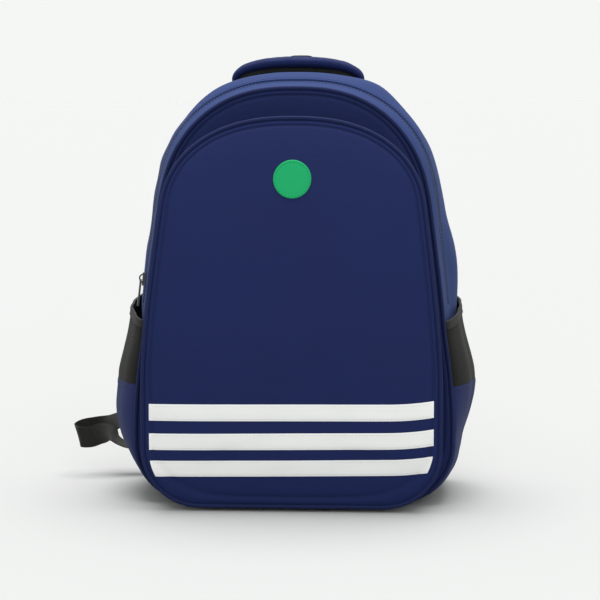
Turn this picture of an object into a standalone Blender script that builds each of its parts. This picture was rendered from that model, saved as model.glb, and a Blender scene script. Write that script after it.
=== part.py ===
"""School backpack: zipped main compartment, zipped front pocket, side pockets and straps.

Metres. +X is the wearer's left as seen from the front, the front faces -Y, +Z is up,
and the base stands on z = 0.
"""

import math

import bmesh
import bpy
from mathutils import Vector

# ---- Driving dimensions ----------------------------------------------------------
GAP = 0.0003  # play between neighbouring pieces
WALL = 0.004  # padded fabric wall
FOLD_Z = 0.195  # level at which the front folds forward, where both zips end

Z_CORNER = 0.060  # top of the rounded bottom corners
Z_SHOULDER = 0.295  # start of the arched top
Z_TAPER = 0.130  # the sides lean in above this level
TAPER_POWER = 1.35
CORNER = 0.055  # radius of the bottom corners

# Outlines: half width, taper, top level, bottom level, roundness of the arch
FRONT_EDGE = (0.149, 0.200, 0.408, 0.005, 2.5)
REAR_EDGE = (0.150, 0.160, 0.417, 0.005, 2.5)
PANEL_EDGE = (0.1424, 0.185, 0.379, 0.007, 2.4)
BULGE_WIDTH = 0.010  # how far the sides swell between the two edges
BULGE_TOP = 0.009

WALL_Y = (-0.062, 0.064)  # main front wall: position at the floor, lean per metre
BACK_Y = (0.088, -0.015)  # back panel
PANEL_Y = (-0.103, 0.515, 0.090)  # front panel: foremost point, curvature, its level

ZIP_V = 0.220  # main zip, as a share of the depth
ZIP_HALF = 0.031
ZIP_THICK = 0.0016
DEPTH_STEPS = (0.035, 0.12, 0.30, 0.50, 0.70, 0.88, 0.965)

PIPING_R = 0.0020
STRIP_LEVELS = ((0.0900, 0.1070), (0.0625, 0.0795), (0.0362, 0.0527))
STRIP_TILT = 0.012
STRIP_THICK = 0.0008
BADGE_Z = 0.3224
BADGE_R = 0.0185

SIDE_SEAM_Z = 0.117
SIDE_RIM_Z = (0.180, 0.202)  # side pocket rim: at the front, at the rear
SIDE_SHEET = 0.0020
SIDE_STAND = 0.0200  # how far the filled side pocket stands out
SIDE_RIM_STAND = 0.0125

HANDLE_X = 0.063
HANDLE_Y = 0.052
HANDLE_RISE = 0.0145
UNDERSIDE = 0.0036
LOOP_X = 0.018
STRAP_TOP = (0.050, 0.0965, 0.386)
STRAP_THICK = 0.012
WEB_WIDTH = 0.022
WEB_THICK = 0.0015
ZIP_END_Z = 0.215
ZIP_TRAVEL = 0.060
SLIDER_LIFT = 0.0009

NAVY = (0.018, 0.026, 0.105)
NAVY_LIGHT = (0.030, 0.050, 0.170)
PIPING_BLUE = (0.014, 0.020, 0.080)
BLACK = (0.010, 0.011, 0.010)
MESH_BLACK = (0.022, 0.023, 0.020)
SILVER_WHITE = (0.780, 0.780, 0.780)
GREEN = (0.020, 0.400, 0.150)
LINING = (0.055, 0.060, 0.075)
METAL_DARK = (0.050, 0.050, 0.055)

S_FOLD = 2.0 + (FOLD_Z - Z_CORNER) / (Z_SHOULDER - Z_CORNER)
S_FOLD_LOW = S_FOLD - 0.5 * GAP / (Z_SHOULDER - Z_CORNER)
S_FOLD_HIGH = S_FOLD + 0.5 * GAP / (Z_SHOULDER - Z_CORNER)
S_SEAM = 2.0 + (SIDE_SEAM_Z - Z_CORNER) / (Z_SHOULDER - Z_CORNER)
S_BASE_END = 1.4
LOW_SIDE = (1.6, 1.8, 2.0, 2.12, S_SEAM, 2.41)


# ---- Outlines ---------------------------------------------------------------------
def side_x(shape, z):
    """Half width of the straight, leaning side at level z."""
    return shape[0] - shape[1] * max(0.0, z - Z_TAPER) ** TAPER_POWER


def outline_point(shape, s, inset=0.0):
    """Right half of an outline. s runs 0-1 along the base, 1-2 round the corner, 2-3 up, 3-4 over the top."""
    width, taper, top, bottom, power = shape
    grown = (width - inset, taper, top - inset, bottom + inset, power)
    if s <= 1.0:
        return (grown[0] - CORNER) * s, grown[3]
    if s <= 2.0:
        angle = (s - 1.0) * math.pi / 2
        x = grown[0] - CORNER + CORNER * math.sin(angle)
        return x, Z_CORNER - (Z_CORNER - grown[3]) * math.cos(angle)
    if s <= 3.0:
        z = Z_CORNER + (Z_SHOULDER - Z_CORNER) * (s - 2.0)
        return side_x(grown, z), z
    angle = (s - 3.0) * math.pi / 2
    z = Z_SHOULDER + (grown[2] - Z_SHOULDER) * math.sin(angle) ** (2 / power)
    return side_x(grown, z) * max(0.0, math.cos(angle)) ** (2 / power), z


def station_of(z):
    """The station of a level on the side."""
    return 2.0 + (z - Z_CORNER) / (Z_SHOULDER - Z_CORNER)


def panel_y(z):
    return PANEL_Y[0] + PANEL_Y[1] * (z - PANEL_Y[2]) ** 2


def wall_y(z):
    return WALL_Y[0] + WALL_Y[1] * z


def back_y(z):
    return BACK_Y[0] + BACK_Y[1] * z


def body_shape(v):
    """Outline of the main body at depth share v, from its front edge (0) to its rear edge (1)."""
    swell = max(0.0, math.sin(math.pi * v)) ** 0.7
    width, taper, top, _, power = [
        a + (b - a) * v for a, b in zip(FRONT_EDGE, REAR_EDGE)
    ]
    ends = max(0.0, 1.0 - min(v, 1.0 - v) / 0.12)
    taper -= 0.03 * swell
    return width + BULGE_WIDTH * swell, taper, top + BULGE_TOP * swell, 0.005 * ends, power


def body_point(side, s, v, inset=0.0, out=0.0):
    """Point on the main body. inset shrinks the outline, out moves the point sideways only."""
    x, z = outline_point(body_shape(v), s, inset)
    y = wall_y(z) + v * (back_y(z) - wall_y(z))
    return Vector((side * (x + out), y, z))


def pocket_point(side, s, share, inset=0.0):
    """Point on the front pocket's gusset, from behind the front panel (0) to the front wall (1)."""
    x, z = outline_point(PANEL_EDGE, s, 0.0015 + inset)
    front = panel_y(z) + WALL + GAP
    return Vector((side * x, front + share * (wall_y(z) - GAP - front), z))


def over_top(start, steps_side=3, steps_top=9):
    """Stations from the left side over the top to the right side."""
    half = [start + (3.0 - start) * i / steps_side for i in range(steps_side)]
    half += [3.0 + i / steps_top for i in range(steps_top)]
    return [(-1, s) for s in half] + [(1, 4.0)] + [(1, s) for s in reversed(half)]


def under_base(end):
    """Stations from the left side round the base to the right side."""
    half = [0.5, 1.0, 1.2, S_BASE_END]
    half += [s for s in LOW_SIDE if s < end - 0.01]
    half += [end]
    return [(-1, s) for s in reversed(half)] + [(1, 0.0)] + [(1, s) for s in half]


# ---- Solids -----------------------------------------------------------------------
def clear_scene():
    for obj in list(bpy.data.objects):
        bpy.data.objects.remove(obj, do_unlink=True)


def material(name, color, roughness=0.85, metallic=0.0):
    found = bpy.data.materials.get(name)
    if found:
        return found
    made = bpy.data.materials.new(name)
    made.use_nodes = True
    shader = made.node_tree.nodes["Principled BSDF"]
    shader.inputs["Base Color"].default_value = (*color, 1.0)
    shader.inputs["Roughness"].default_value = roughness
    shader.inputs["Metallic"].default_value = metallic
    return made


def finish_mesh(name, bm, look):
    bmesh.ops.recalc_face_normals(bm, faces=bm.faces)
    mesh = bpy.data.meshes.new(name)
    bm.to_mesh(mesh)
    bm.free()
    obj = bpy.data.objects.new(name, mesh)
    bpy.context.scene.collection.objects.link(obj)
    mesh.materials.append(material(*look))
    return obj


def shell(name, outer, inner, look):
    """Closed solid between two grids of points with the same rows and columns."""
    bm = bmesh.new()
    skins = [[[bm.verts.new(p) for p in row] for row in grid] for grid in (outer, inner)]
    rows, cols = len(outer), len(outer[0])
    for skin in skins:
        for i in range(rows - 1):
            for j in range(cols - 1):
                bm.faces.new((skin[i][j], skin[i + 1][j], skin[i + 1][j + 1], skin[i][j + 1]))
    border = [(i, 0) for i in range(rows)] + [(rows - 1, j) for j in range(1, cols)]
    border += [(i, cols - 1) for i in range(rows - 2, -1, -1)]
    border += [(0, j) for j in range(cols - 2, 0, -1)]
    for (a, b), (c, d) in zip(border, border[1:] + border[:1]):
        bm.faces.new((skins[0][a][b], skins[0][c][d], skins[1][c][d], skins[1][a][b]))
    return finish_mesh(name, bm, look)


def tube(name, path, radius, look, sides=6):
    """Round bar along a path of points."""
    bm = bmesh.new()
    rings = []
    normal = Vector((0, 1, 0))
    for i, point in enumerate(path):
        tangent = (path[min(i + 1, len(path) - 1)] - path[max(i - 1, 0)]).normalized()
        across = tangent.cross(normal).normalized()
        normal = across.cross(tangent).normalized()
        ring = []
        for k in range(sides):
            angle = 2 * math.pi * (k + 0.5) / sides
            ring.append(bm.verts.new(point + radius * (math.cos(angle) * across + math.sin(angle) * normal)))
        rings.append(ring)
    for first, second in zip(rings, rings[1:]):
        for k in range(sides):
            m = (k + 1) % sides
            bm.faces.new((first[k], first[m], second[m], second[k]))
    bm.faces.new(rings[0])
    bm.faces.new(rings[-1])
    return finish_mesh(name, bm, look)


def box(name, centre, axes, size, look):
    """Box with its three unit axes and full sizes."""
    bm = bmesh.new()
    made = bmesh.ops.create_cube(bm, size=1.0)
    for vert in made["verts"]:
        offset = [axis * (vert.co[i] * size[i]) for i, axis in enumerate(axes)]
        vert.co = Vector(centre) + offset[0] + offset[1] + offset[2]
    return finish_mesh(name, bm, look)


def smooth_path(points, steps):
    """Catmull-Rom curve through the points."""
    pts = [Vector(p) for p in points]
    pts = [pts[0] * 2 - pts[1]] + pts + [pts[-1] * 2 - pts[-2]]
    made = []
    for a, b, c, d in zip(pts, pts[1:], pts[2:], pts[3:]):
        for i in range(steps):
            t = i / steps
            made.append(
                0.5 * (2 * b + (c - a) * t + (2 * a - 5 * b + 4 * c - d) * t**2
                       + (3 * b - a - 3 * c + d) * t**3)
            )
    return made + [pts[-2]]


def ribbon(name, path, across, width, thick, look, round_edge=0.0, cols=1):
    """Flat strap along a path. across gives the width direction, width and thick may be functions of 0-1."""
    outer, inner = [], []
    count = len(path) - 1
    for i, point in enumerate(path):
        share = i / count
        tangent = (path[min(i + 1, count)] - path[max(i - 1, 0)]).normalized()
        side = Vector(across(share))
        side = (side - side.dot(tangent) * tangent).normalized()
        normal = tangent.cross(side)
        w = width(share) if callable(width) else width
        t = thick(share) if callable(thick) else thick
        rows = [[], []]
        for j in range(cols + 1):
            f = 2 * j / cols - 1
            local = t * (1 - round_edge * abs(f) ** 3)
            spot = point + side * (w / 2 * f)
            rows[0].append(spot + normal * (local / 2))
            rows[1].append(spot - normal * (local / 2))
        outer.append(rows[0])
        inner.append(rows[1])
    return shell(name, outer, inner, look)


def band(name, stations, depths, point, thick, look, start=0.0):
    """Wall that follows an outline, between two depths."""
    outer = [[point(side, s, v, start) for v in depths] for side, s in stations]
    inner = [[point(side, s, v, start + thick) for v in depths] for side, s in stations]
    return shell(name, outer, inner, look)


def plate(name, shape, levels, depth, thick, look, cols=2):
    """Flat wall inside an outline. depth gives its front face at each level."""
    outer, inner = [], []
    for s in levels:
        x, z = outline_point(shape, s)
        across = [x * (2 * j / cols - 1) for j in range(cols + 1)]
        outer.append([Vector((a, depth(z), z)) for a in across])
        inner.append([Vector((a, depth(z) + thick, z)) for a in across])
    return shell(name, outer, inner, look)


def piping(name, shape, stations, depth, look):
    """Cord sewn round the edge of a wall."""
    path = []
    for side, s in stations:
        x, z = outline_point(shape, s, -(PIPING_R + GAP))
        path.append(Vector((side * x, depth(z) + PIPING_R, z)))
    return tube(name, path, PIPING_R, look)


UPPER_LEVELS = [S_FOLD_HIGH, 2.7, 2.85, 3.0] + [3.0 + i / 9 for i in range(1, 9)] + [3.97]
LOWER_LEVELS = [1.0, 1.2, S_BASE_END, 1.6, 1.8, 2.0, 2.12, S_SEAM, 2.41, S_FOLD_LOW]
WHOLE_LEVELS = LOWER_LEVELS[:-1] + UPPER_LEVELS

WALL_LOOK = ("front_wall_fabric", NAVY, 0.88)
PANEL_LOOK = ("panel_fabric", NAVY, 0.86)
GUSSET_LOOK = ("gusset_fabric", NAVY_LIGHT, 0.86)
PIPING_LOOK = ("piping", PIPING_BLUE, 0.80)
ZIP_LOOK = ("zip_tape", BLACK, 0.70)
SLIDER_LOOK = ("slider", METAL_DARK, 0.40, 0.8)
WEB_LOOK = ("webbing", BLACK, 0.75)
MESH_LOOK = ("mesh", MESH_BLACK, 0.90)
PAD_LOOK = ("strap_fabric", NAVY, 0.86)
PLASTIC_LOOK = ("buckle_plastic", BLACK, 0.35)
LINING_LOOK = ("lining", LINING, 0.90)


# ---- Main compartment -------------------------------------------------------------
def build_body():
    plate("back_panel", REAR_EDGE, WHOLE_LEVELS, lambda z: back_y(z) - WALL, WALL, ("back_fabric", BLACK, 0.92))
    band("rear_gusset", over_top(S_FOLD_HIGH), (ZIP_V + ZIP_HALF, 0.42, 0.60, 0.80, 0.965),
         body_point, WALL, GUSSET_LOOK)
    base = [(-1, s) for s in (S_BASE_END, 1.2, 1.0, 0.5)] + [(1, s) for s in (0.0, 0.5, 1.0, 1.2, S_BASE_END)]
    band("base_panel", base, DEPTH_STEPS, body_point, WALL, ("base_fabric", NAVY, 0.88))
    for side, word in ((-1, "left"), (1, "right")):
        rows = [(side, s) for s in (S_BASE_END + 0.004,) + LOW_SIDE + (S_FOLD_LOW,)]
        band("side_gusset_" + word, rows, DEPTH_STEPS, body_point, WALL, GUSSET_LOOK)
    rear_depth = lambda z: back_y(z) - WALL
    piping("rear_piping", REAR_EDGE, over_top(2.0, 5), rear_depth, PIPING_LOOK)
    band("main_zip_rear", over_top(S_FOLD_HIGH), (ZIP_V + 0.002, ZIP_V + ZIP_HALF - 0.003),
         body_point, ZIP_THICK, ZIP_LOOK)
    middle = (back_y(0) + wall_y(0)) / 2
    axes = (Vector((1, 0, 0)), Vector((0, 1, 0)), Vector((0, 0, 1)))
    box("base_board", (0, middle, WALL + 2 * GAP + 0.0015), axes, (0.176, 0.110, 0.003), ("board", LINING, 0.8))


def build_sleeve():
    """Padded slip pocket for a tablet inside, on the back panel."""
    reach, top, bottom = 0.116, 0.255, 0.024
    outer, inner = [], []
    for z in (bottom, 0.08, 0.17, top):
        rear = back_y(z) - WALL - GAP
        front = rear - 0.024
        line = [(-reach, rear), (-reach + 0.002, front + 0.006), (-reach + 0.008, front),
                (reach - 0.008, front), (reach - 0.002, front + 0.006), (reach, rear)]
        inside = [(-reach + 0.003, rear), (-reach + 0.005, front + 0.007), (-reach + 0.009, front + 0.003),
                  (reach - 0.009, front + 0.003), (reach - 0.005, front + 0.007), (reach - 0.003, rear)]
        outer.append([Vector((x, y, z)) for x, y in line])
        inner.append([Vector((x, y, z)) for x, y in inside])
    shell("tablet_sleeve", outer, inner, LINING_LOOK)


def build_front_wall():
    plate("front_wall_lower", FRONT_EDGE, LOWER_LEVELS, wall_y, WALL, WALL_LOOK)
    plate("front_wall_upper", FRONT_EDGE, UPPER_LEVELS, wall_y, WALL, WALL_LOOK)
    piping("wall_piping_lower", FRONT_EDGE, under_base(S_FOLD_LOW), wall_y, PIPING_LOOK)
    piping("wall_piping_upper", FRONT_EDGE, over_top(S_FOLD_HIGH), wall_y, PIPING_LOOK)
    band("front_gusset", over_top(S_FOLD_HIGH), (0.035, 0.12, ZIP_V - ZIP_HALF), body_point, WALL, GUSSET_LOOK)
    band("main_zip_front", over_top(S_FOLD_HIGH), (ZIP_V - ZIP_HALF + 0.003, ZIP_V - 0.002),
         body_point, ZIP_THICK, ZIP_LOOK)


# ---- Front pocket -----------------------------------------------------------------
def strip_point(x, z, lift):
    level = z + STRIP_TILT * x
    return Vector((x, panel_y(level) - lift, level))


def panel_half(z):
    """Half width of the front panel at level z."""
    if z >= Z_CORNER:
        return side_x(PANEL_EDGE, z)
    drop = (Z_CORNER - z) / (Z_CORNER - PANEL_EDGE[3])
    return PANEL_EDGE[0] - CORNER + CORNER * math.sqrt(max(0.0, 1 - drop**2))


def build_front_pocket():
    plate("front_panel_lower", PANEL_EDGE, LOWER_LEVELS, panel_y, WALL, PANEL_LOOK)
    plate("front_panel_upper", PANEL_EDGE, UPPER_LEVELS, panel_y, WALL, PANEL_LOOK)
    piping("panel_piping_lower", PANEL_EDGE, under_base(S_FOLD_LOW), panel_y, PIPING_LOOK)
    piping("panel_piping_upper", PANEL_EDGE, over_top(S_FOLD_HIGH), panel_y, PIPING_LOOK)
    band("pocket_gusset_lower", under_base(S_FOLD_LOW), (0.0, 1.0), pocket_point, 0.003, WALL_LOOK)
    band("pocket_gusset_rear", over_top(S_FOLD_HIGH), (0.640, 1.0), pocket_point, 0.003, WALL_LOOK)
    band("pocket_gusset_front", over_top(S_FOLD_HIGH), (0.0, 0.360), pocket_point, 0.003, WALL_LOOK)
    band("pocket_zip_rear", over_top(S_FOLD_HIGH), (0.510, 0.625), pocket_point, ZIP_THICK, ZIP_LOOK)
    band("pocket_zip_front", over_top(S_FOLD_HIGH), (0.375, 0.490), pocket_point, ZIP_THICK, ZIP_LOOK)
    for number, (low, high) in enumerate(STRIP_LEVELS, 1):
        rows = [low + (high - low) * i / 3 for i in range(4)]
        grids = []
        for lift in (GAP + STRIP_THICK, GAP):
            grid = []
            for z in rows:
                reach = panel_half(z) - 0.0040
                grid.append([strip_point(reach * (j / 4 - 1), z, lift) for j in range(9)])
            grids.append(grid)
        shell("reflective_strip_%d" % number, grids[0], grids[1], ("reflective_tape", SILVER_WHITE, 0.45))
    bm = bmesh.new()
    rims = []
    for lift in (GAP + 0.0012, GAP):
        centre = bm.verts.new((0, panel_y(BADGE_Z) - lift, BADGE_Z))
        rim = []
        for k in range(28):
            angle = 2 * math.pi * k / 28
            z = BADGE_Z + BADGE_R * math.sin(angle)
            rim.append(bm.verts.new((BADGE_R * math.cos(angle), panel_y(z) - lift, z)))
        for k in range(28):
            bm.faces.new((centre, rim[k], rim[(k + 1) % 28]))
        rims.append(rim)
    for k in range(28):
        m = (k + 1) % 28
        bm.faces.new((rims[0][k], rims[0][m], rims[1][m], rims[1][k]))
    finish_mesh("round_patch", bm, ("patch", GREEN, 0.7))


# ---- Side pockets -----------------------------------------------------------------
def side_stand(z, v):
    """How far the outside of a side pocket stands off the body."""
    low, crest = 0.022, 0.105
    rest = SIDE_SHEET + GAP
    if z < crest:
        share = max(0.0, (z - low) / (crest - low))
        stand = rest + (SIDE_STAND - rest) * math.sin(math.pi / 2 * share) ** 2
    else:
        share = min(1.0, (z - crest) / (0.190 - crest))
        stand = SIDE_STAND - (SIDE_STAND - SIDE_RIM_STAND) * math.sin(math.pi / 2 * share) ** 2
    edge = max(0.0, math.sin(math.pi * (v - 0.035) / 0.930)) ** 0.6
    return rest + (stand - rest) * edge


def side_grid(side, stations, sheet, extra=0.0):
    """Outer and inner grids of a side pocket piece. stations gives the levels at each depth."""
    outer, inner = [], []
    for v in DEPTH_STEPS:
        rows = [[], []]
        for s in stations(v):
            z = outline_point(body_shape(v), s)[1]
            stand = side_stand(z, v)
            rows[0].append(body_point(side, s, v, out=stand + extra))
            rows[1].append(body_point(side, s, v, out=stand + extra - sheet))
        outer.append(rows[0])
        inner.append(rows[1])
    return outer, inner


def rim_station(v):
    return station_of(SIDE_RIM_Z[0] + (SIDE_RIM_Z[1] - SIDE_RIM_Z[0]) * v)


def build_side_pockets():
    def fabric(v):
        return (S_BASE_END, 1.6, 1.8, 2.0, 2.12, S_SEAM - 0.0007)

    def net(v):
        top = rim_station(v) - 0.035
        return [S_SEAM + 0.0007 + (top - S_SEAM) * i / 3 for i in range(4)]

    def rim(v):
        return (rim_station(v) - 0.0325, rim_station(v))

    for side, word in ((-1, "left"), (1, "right")):
        grids = side_grid(side, fabric, SIDE_SHEET)
        shell("side_pocket_base_" + word, *grids, ("side_fabric", NAVY_LIGHT, 0.86))
        grids = side_grid(side, net, SIDE_SHEET)
        shell("side_pocket_mesh_" + word, *grids, MESH_LOOK)
        grids = side_grid(side, rim, SIDE_SHEET, 0.0)
        shell("side_pocket_elastic_" + word, *grids, WEB_LOOK)


# ---- Zip sliders ------------------------------------------------------------------
def slider_frame(point_at, z):
    """Spot on the left side at level z, with its directions up, out and across."""
    spot = point_at(station_of(z), 0.0)
    up = (point_at(station_of(z + ZIP_TRAVEL), 0.0) - spot).normalized()
    across = (point_at(station_of(z), 0.03) - point_at(station_of(z), -0.03)).normalized()
    out = up.cross(across).normalized()
    if out.x > 0:
        out = -out
    return spot, up, out, up.cross(out).normalized()


def slider_and_pull(name, point_at, z):
    spot, up, out, across = slider_frame(point_at, z)
    centre = spot + out * (SLIDER_LIFT + 0.0014)
    box(name + "_slider", centre, (across, up, out), (0.0085, 0.0130, 0.0028), SLIDER_LOOK)
    hinge = spot + out * (SLIDER_LIFT + 0.0028 + 0.0016)
    path = [hinge - up * (0.0006 + 0.0270 * i / 4) for i in range(5)]
    width = lambda f: 0.0042 + 0.0022 * math.sin(math.pi * min(1.0, f + 0.15)) ** 0.5
    pull = ribbon(name + "_pull", path, lambda f: across, width, 0.0018, SLIDER_LOOK)
    return pull


def build_sliders():
    main = lambda s, dv: body_point(-1, s, ZIP_V + dv)
    pocket = lambda s, dv: pocket_point(-1, s, 0.5 + dv)
    slider_and_pull("main", main, ZIP_END_Z + 0.004)
    slider_and_pull("pocket", pocket, ZIP_END_Z + 0.004)


# ---- Handle and hang loop ---------------------------------------------------------
def top_level(x, v):
    """Level of the body's top surface at x."""
    width, taper, top, _, power = body_shape(v)
    z = top
    for _ in range(8):
        reach = side_x((width, taper), z)
        z = Z_SHOULDER + (top - Z_SHOULDER) * (1 - (x / reach) ** power) ** (1 / power)
    return z


def build_handle():
    v = (HANDLE_Y - wall_y(0.41)) / (back_y(0.41) - wall_y(0.41))
    for side, word in ((-1, "left"), (1, "right")):
        grids = []
        for lift in (0.0028, 0.0008):
            grid = []
            for x in (HANDLE_X - 0.007, HANDLE_X, HANDLE_X + 0.007):
                row = []
                for y in (HANDLE_Y - 0.012, HANDLE_Y, HANDLE_Y + 0.012):
                    share = v + (y - HANDLE_Y) / (back_y(0.41) - wall_y(0.41))
                    row.append(Vector((side * x, y, top_level(x, share) + lift)))
                grid.append(row)
            grids.append(grid)
        shell("handle_tab_" + word, *grids, WEB_LOOK)
    foot = top_level(HANDLE_X - 0.007, v) + 0.0028 + 0.0024
    across = lambda f: (0, 1, 0)
    swell = lambda f: max(0.0, math.sin(math.pi * f)) ** 0.7
    thick = lambda f: 0.0040 + 0.0065 * swell(f)
    grip, under = [], []
    for i in range(19):
        angle = math.pi * i / 18
        c, s = math.cos(angle), math.sin(angle)
        x = -HANDLE_X * math.copysign(abs(c) ** 0.82, c)
        grip.append(Vector((x, HANDLE_Y, foot + HANDLE_RISE * max(0.0, s) ** 0.70)))
    for i, point in enumerate(grip):
        along = grip[min(i + 1, 18)] - grip[max(i - 1, 0)]
        out = Vector((-along.z, 0, along.x)).normalized()
        under.append(point - out * (thick(i / 18) / 2 + GAP + UNDERSIDE / 2))
    ribbon("handle_grip", grip, across, lambda f: 0.010 + 0.018 * swell(f), thick, PAD_LOOK, 0.45, 4)
    ribbon("handle_underside", under[1:-1], across, lambda f: 0.009 + 0.005 * swell(f), UNDERSIDE, WEB_LOOK, 0.0, 2)


def build_hang_loop():
    y, low, high = 0.0920, 0.3995, 0.4425
    path = []
    for i in range(11):
        angle = math.pi * i / 10
        c, s = math.cos(angle), math.sin(angle)
        x = -LOOP_X * math.copysign(abs(c) ** 0.7, c)
        path.append(Vector((x, y, low + (high - low) * max(0.0, s) ** 0.7)))
    ribbon("hang_loop", path, lambda f: (0, 1, 0), 0.0095, WEB_THICK, WEB_LOOK)


# ---- Back and shoulder straps -----------------------------------------------------
def pillow(name, x_range, z_range, depth, look, cols=6, rows=8):
    """Sewn pad on the rear face, thin at its edges."""
    grids = [[], []]
    for i in range(rows + 1):
        z = z_range[0] + (z_range[1] - z_range[0]) * i / rows
        lines = [[], []]
        for j in range(cols + 1):
            x = x_range[0] + (x_range[1] - x_range[0]) * j / cols
            a, b = 2 * i / rows - 1, 2 * j / cols - 1
            thick = 0.003 + (depth - 0.003) * (1 - abs(a) ** 4) * (1 - abs(b) ** 4)
            lines[0].append(Vector((x, back_y(z) + GAP + thick, z)))
            lines[1].append(Vector((x, back_y(z) + GAP, z)))
        grids[0].append(lines[0])
        grids[1].append(lines[1])
    shell(name, grids[0], grids[1], look)


def buckle(name, centre, axes, look):
    """Ladder-lock buckle: a plate with two slots."""
    bm = bmesh.new()
    xs = (-0.016, -0.012, 0.012, 0.016)
    zs = (-0.0130, -0.0100, -0.0060, -0.0020, 0.0030, 0.0080, 0.0120)
    layers = []
    for y in (-0.0018, 0.0018):
        layers.append([[bm.verts.new(Vector(centre) + axes[0] * x + axes[1] * y + axes[2] * z)
                        for z in zs] for x in xs])
    cells = {(i, j) for i in range(3) for j in range(6)} - {(1, 1), (1, 4)}
    for i, j in sorted(cells):
        for layer in layers:
            bm.faces.new((layer[i][j], layer[i + 1][j], layer[i + 1][j + 1], layer[i][j + 1]))
        edges = (((i - 1, j), (i, j), (i, j + 1)), ((i + 1, j), (i + 1, j), (i + 1, j + 1)),
                 ((i, j - 1), (i, j), (i + 1, j)), ((i, j + 1), (i, j + 1), (i + 1, j + 1)))
        for other, (a, b), (c, d) in edges:
            if other not in cells:
                bm.faces.new((layers[0][a][b], layers[0][c][d], layers[1][c][d], layers[1][a][b]))
    finish_mesh(name, bm, look)


def mirrored(points, side):
    return [(side * x, y, z) for x, y, z in points]


def build_straps():
    pad_color = ("pad_fabric", BLACK, 0.92)
    pillow("back_pad_left", (-0.112, -0.014), (0.125, 0.335), 0.011, pad_color)
    pillow("back_pad_right", (0.014, 0.112), (0.125, 0.335), 0.011, pad_color)
    pillow("back_pad_low", (-0.088, 0.088), (0.055, 0.115), 0.011, pad_color, 8, 5)
    pillow("strap_yoke", (-0.088, 0.088), (0.350, 0.396), 0.0032, WEB_LOOK, 4, 2)
    pad_line = [STRAP_TOP, (0.055, 0.110, 0.362), (0.062, 0.126, 0.310), (0.070, 0.134, 0.245),
                (0.078, 0.130, 0.185), (0.084, 0.120, 0.140)]
    low_right = [(0.128, 0.0945, 0.034), (0.126, 0.104, 0.052), (0.110, 0.1110, 0.076), (0.0915, 0.1085, 0.0990)]
    low_left = [(-0.130, 0.0945, 0.030), (-0.172, 0.0900, 0.030), (-0.212, 0.0850, 0.036), (-0.2380, 0.0900, 0.042),
                (-0.2300, 0.1040, 0.046), (-0.190, 0.1090, 0.052), (-0.145, 0.1120, 0.058), (-0.108, 0.1125, 0.070),
                (-0.0915, 0.1090, 0.0985)]
    for side, word in ((-1, "left"), (1, "right")):
        path = smooth_path(mirrored(pad_line, side), 3)
        ribbon("strap_pad_" + word, path, lambda f: (1, 0, 0), lambda f: 0.066 - 0.010 * f,
               lambda f: STRAP_THICK * min(1.0, 0.45 + 4 * f, 0.45 + 4 * (1 - f)), PAD_LOOK, 0.55, 4)
        end = Vector((side * 0.0865, 0.1155, 0.1220))
        up = (Vector((side * 0.084, 0.120, 0.140)) - end).normalized()
        flat = Vector((1, 0, 0))
        out = up.cross(flat).normalized()
        flat = out.cross(up).normalized()
        buckle("strap_buckle_" + word, end - up * 0.0035, (flat, out, up), PLASTIC_LOOK)
        face = [p + Vector((0, STRAP_THICK / 2 + 0.0022, 0)) for p in smooth_path(mirrored(pad_line[1:], side), 2)]
        ribbon("strap_facing_" + word, face, lambda f: (1, 0, 0), 0.025, WEB_THICK, WEB_LOOK)
        z_low, z_high = 0.014, 0.058
        rear = 0.0003
        corner = [(0.098, z_low + 0.004), (0.140, z_low + 0.012), (0.140, z_high), (0.128, z_high)]
        bm = bmesh.new()
        faces = []
        for lift in (rear, rear + 0.003):
            faces.append([bm.verts.new((side * x, back_y(z) + lift, z)) for x, z in corner])
        bm.faces.new(faces[0])
        bm.faces.new(faces[1])
        for k in range(4):
            m = (k + 1) % 4
            bm.faces.new((faces[0][k], faces[0][m], faces[1][m], faces[1][k]))
        finish_mesh("anchor_tab_" + word, bm, PAD_LOOK)
    twist_right = lambda f: (1, 0, 0)
    turn = lambda f: math.pi / 2 * max(0.0, (f - 0.72) / 0.28)
    twist_left = lambda f: (-math.sin(turn(f)), 0, math.cos(turn(f)))
    ribbon("low_webbing_right", smooth_path(low_right, 4), twist_right, WEB_WIDTH, WEB_THICK, WEB_LOOK)
    ribbon("low_webbing_left", smooth_path(low_left, 4), twist_left, WEB_WIDTH, WEB_THICK, WEB_LOOK)


def main():
    clear_scene()
    build_body()
    build_sleeve()
    build_front_wall()
    build_front_pocket()
    build_side_pockets()
    build_sliders()
    build_handle()
    build_hang_loop()
    build_straps()


main()
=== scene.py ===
"""School backpack: its cloth, seams, zips, straps and stage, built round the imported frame.

Metres. The front faces -Y, +Z is up and the base stands on z = 0.
"""

import math

import bmesh
import bpy
from bpy.props import FloatProperty, FloatVectorProperty, PointerProperty
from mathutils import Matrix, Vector, noise
from mathutils.bvhtree import BVHTree


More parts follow.
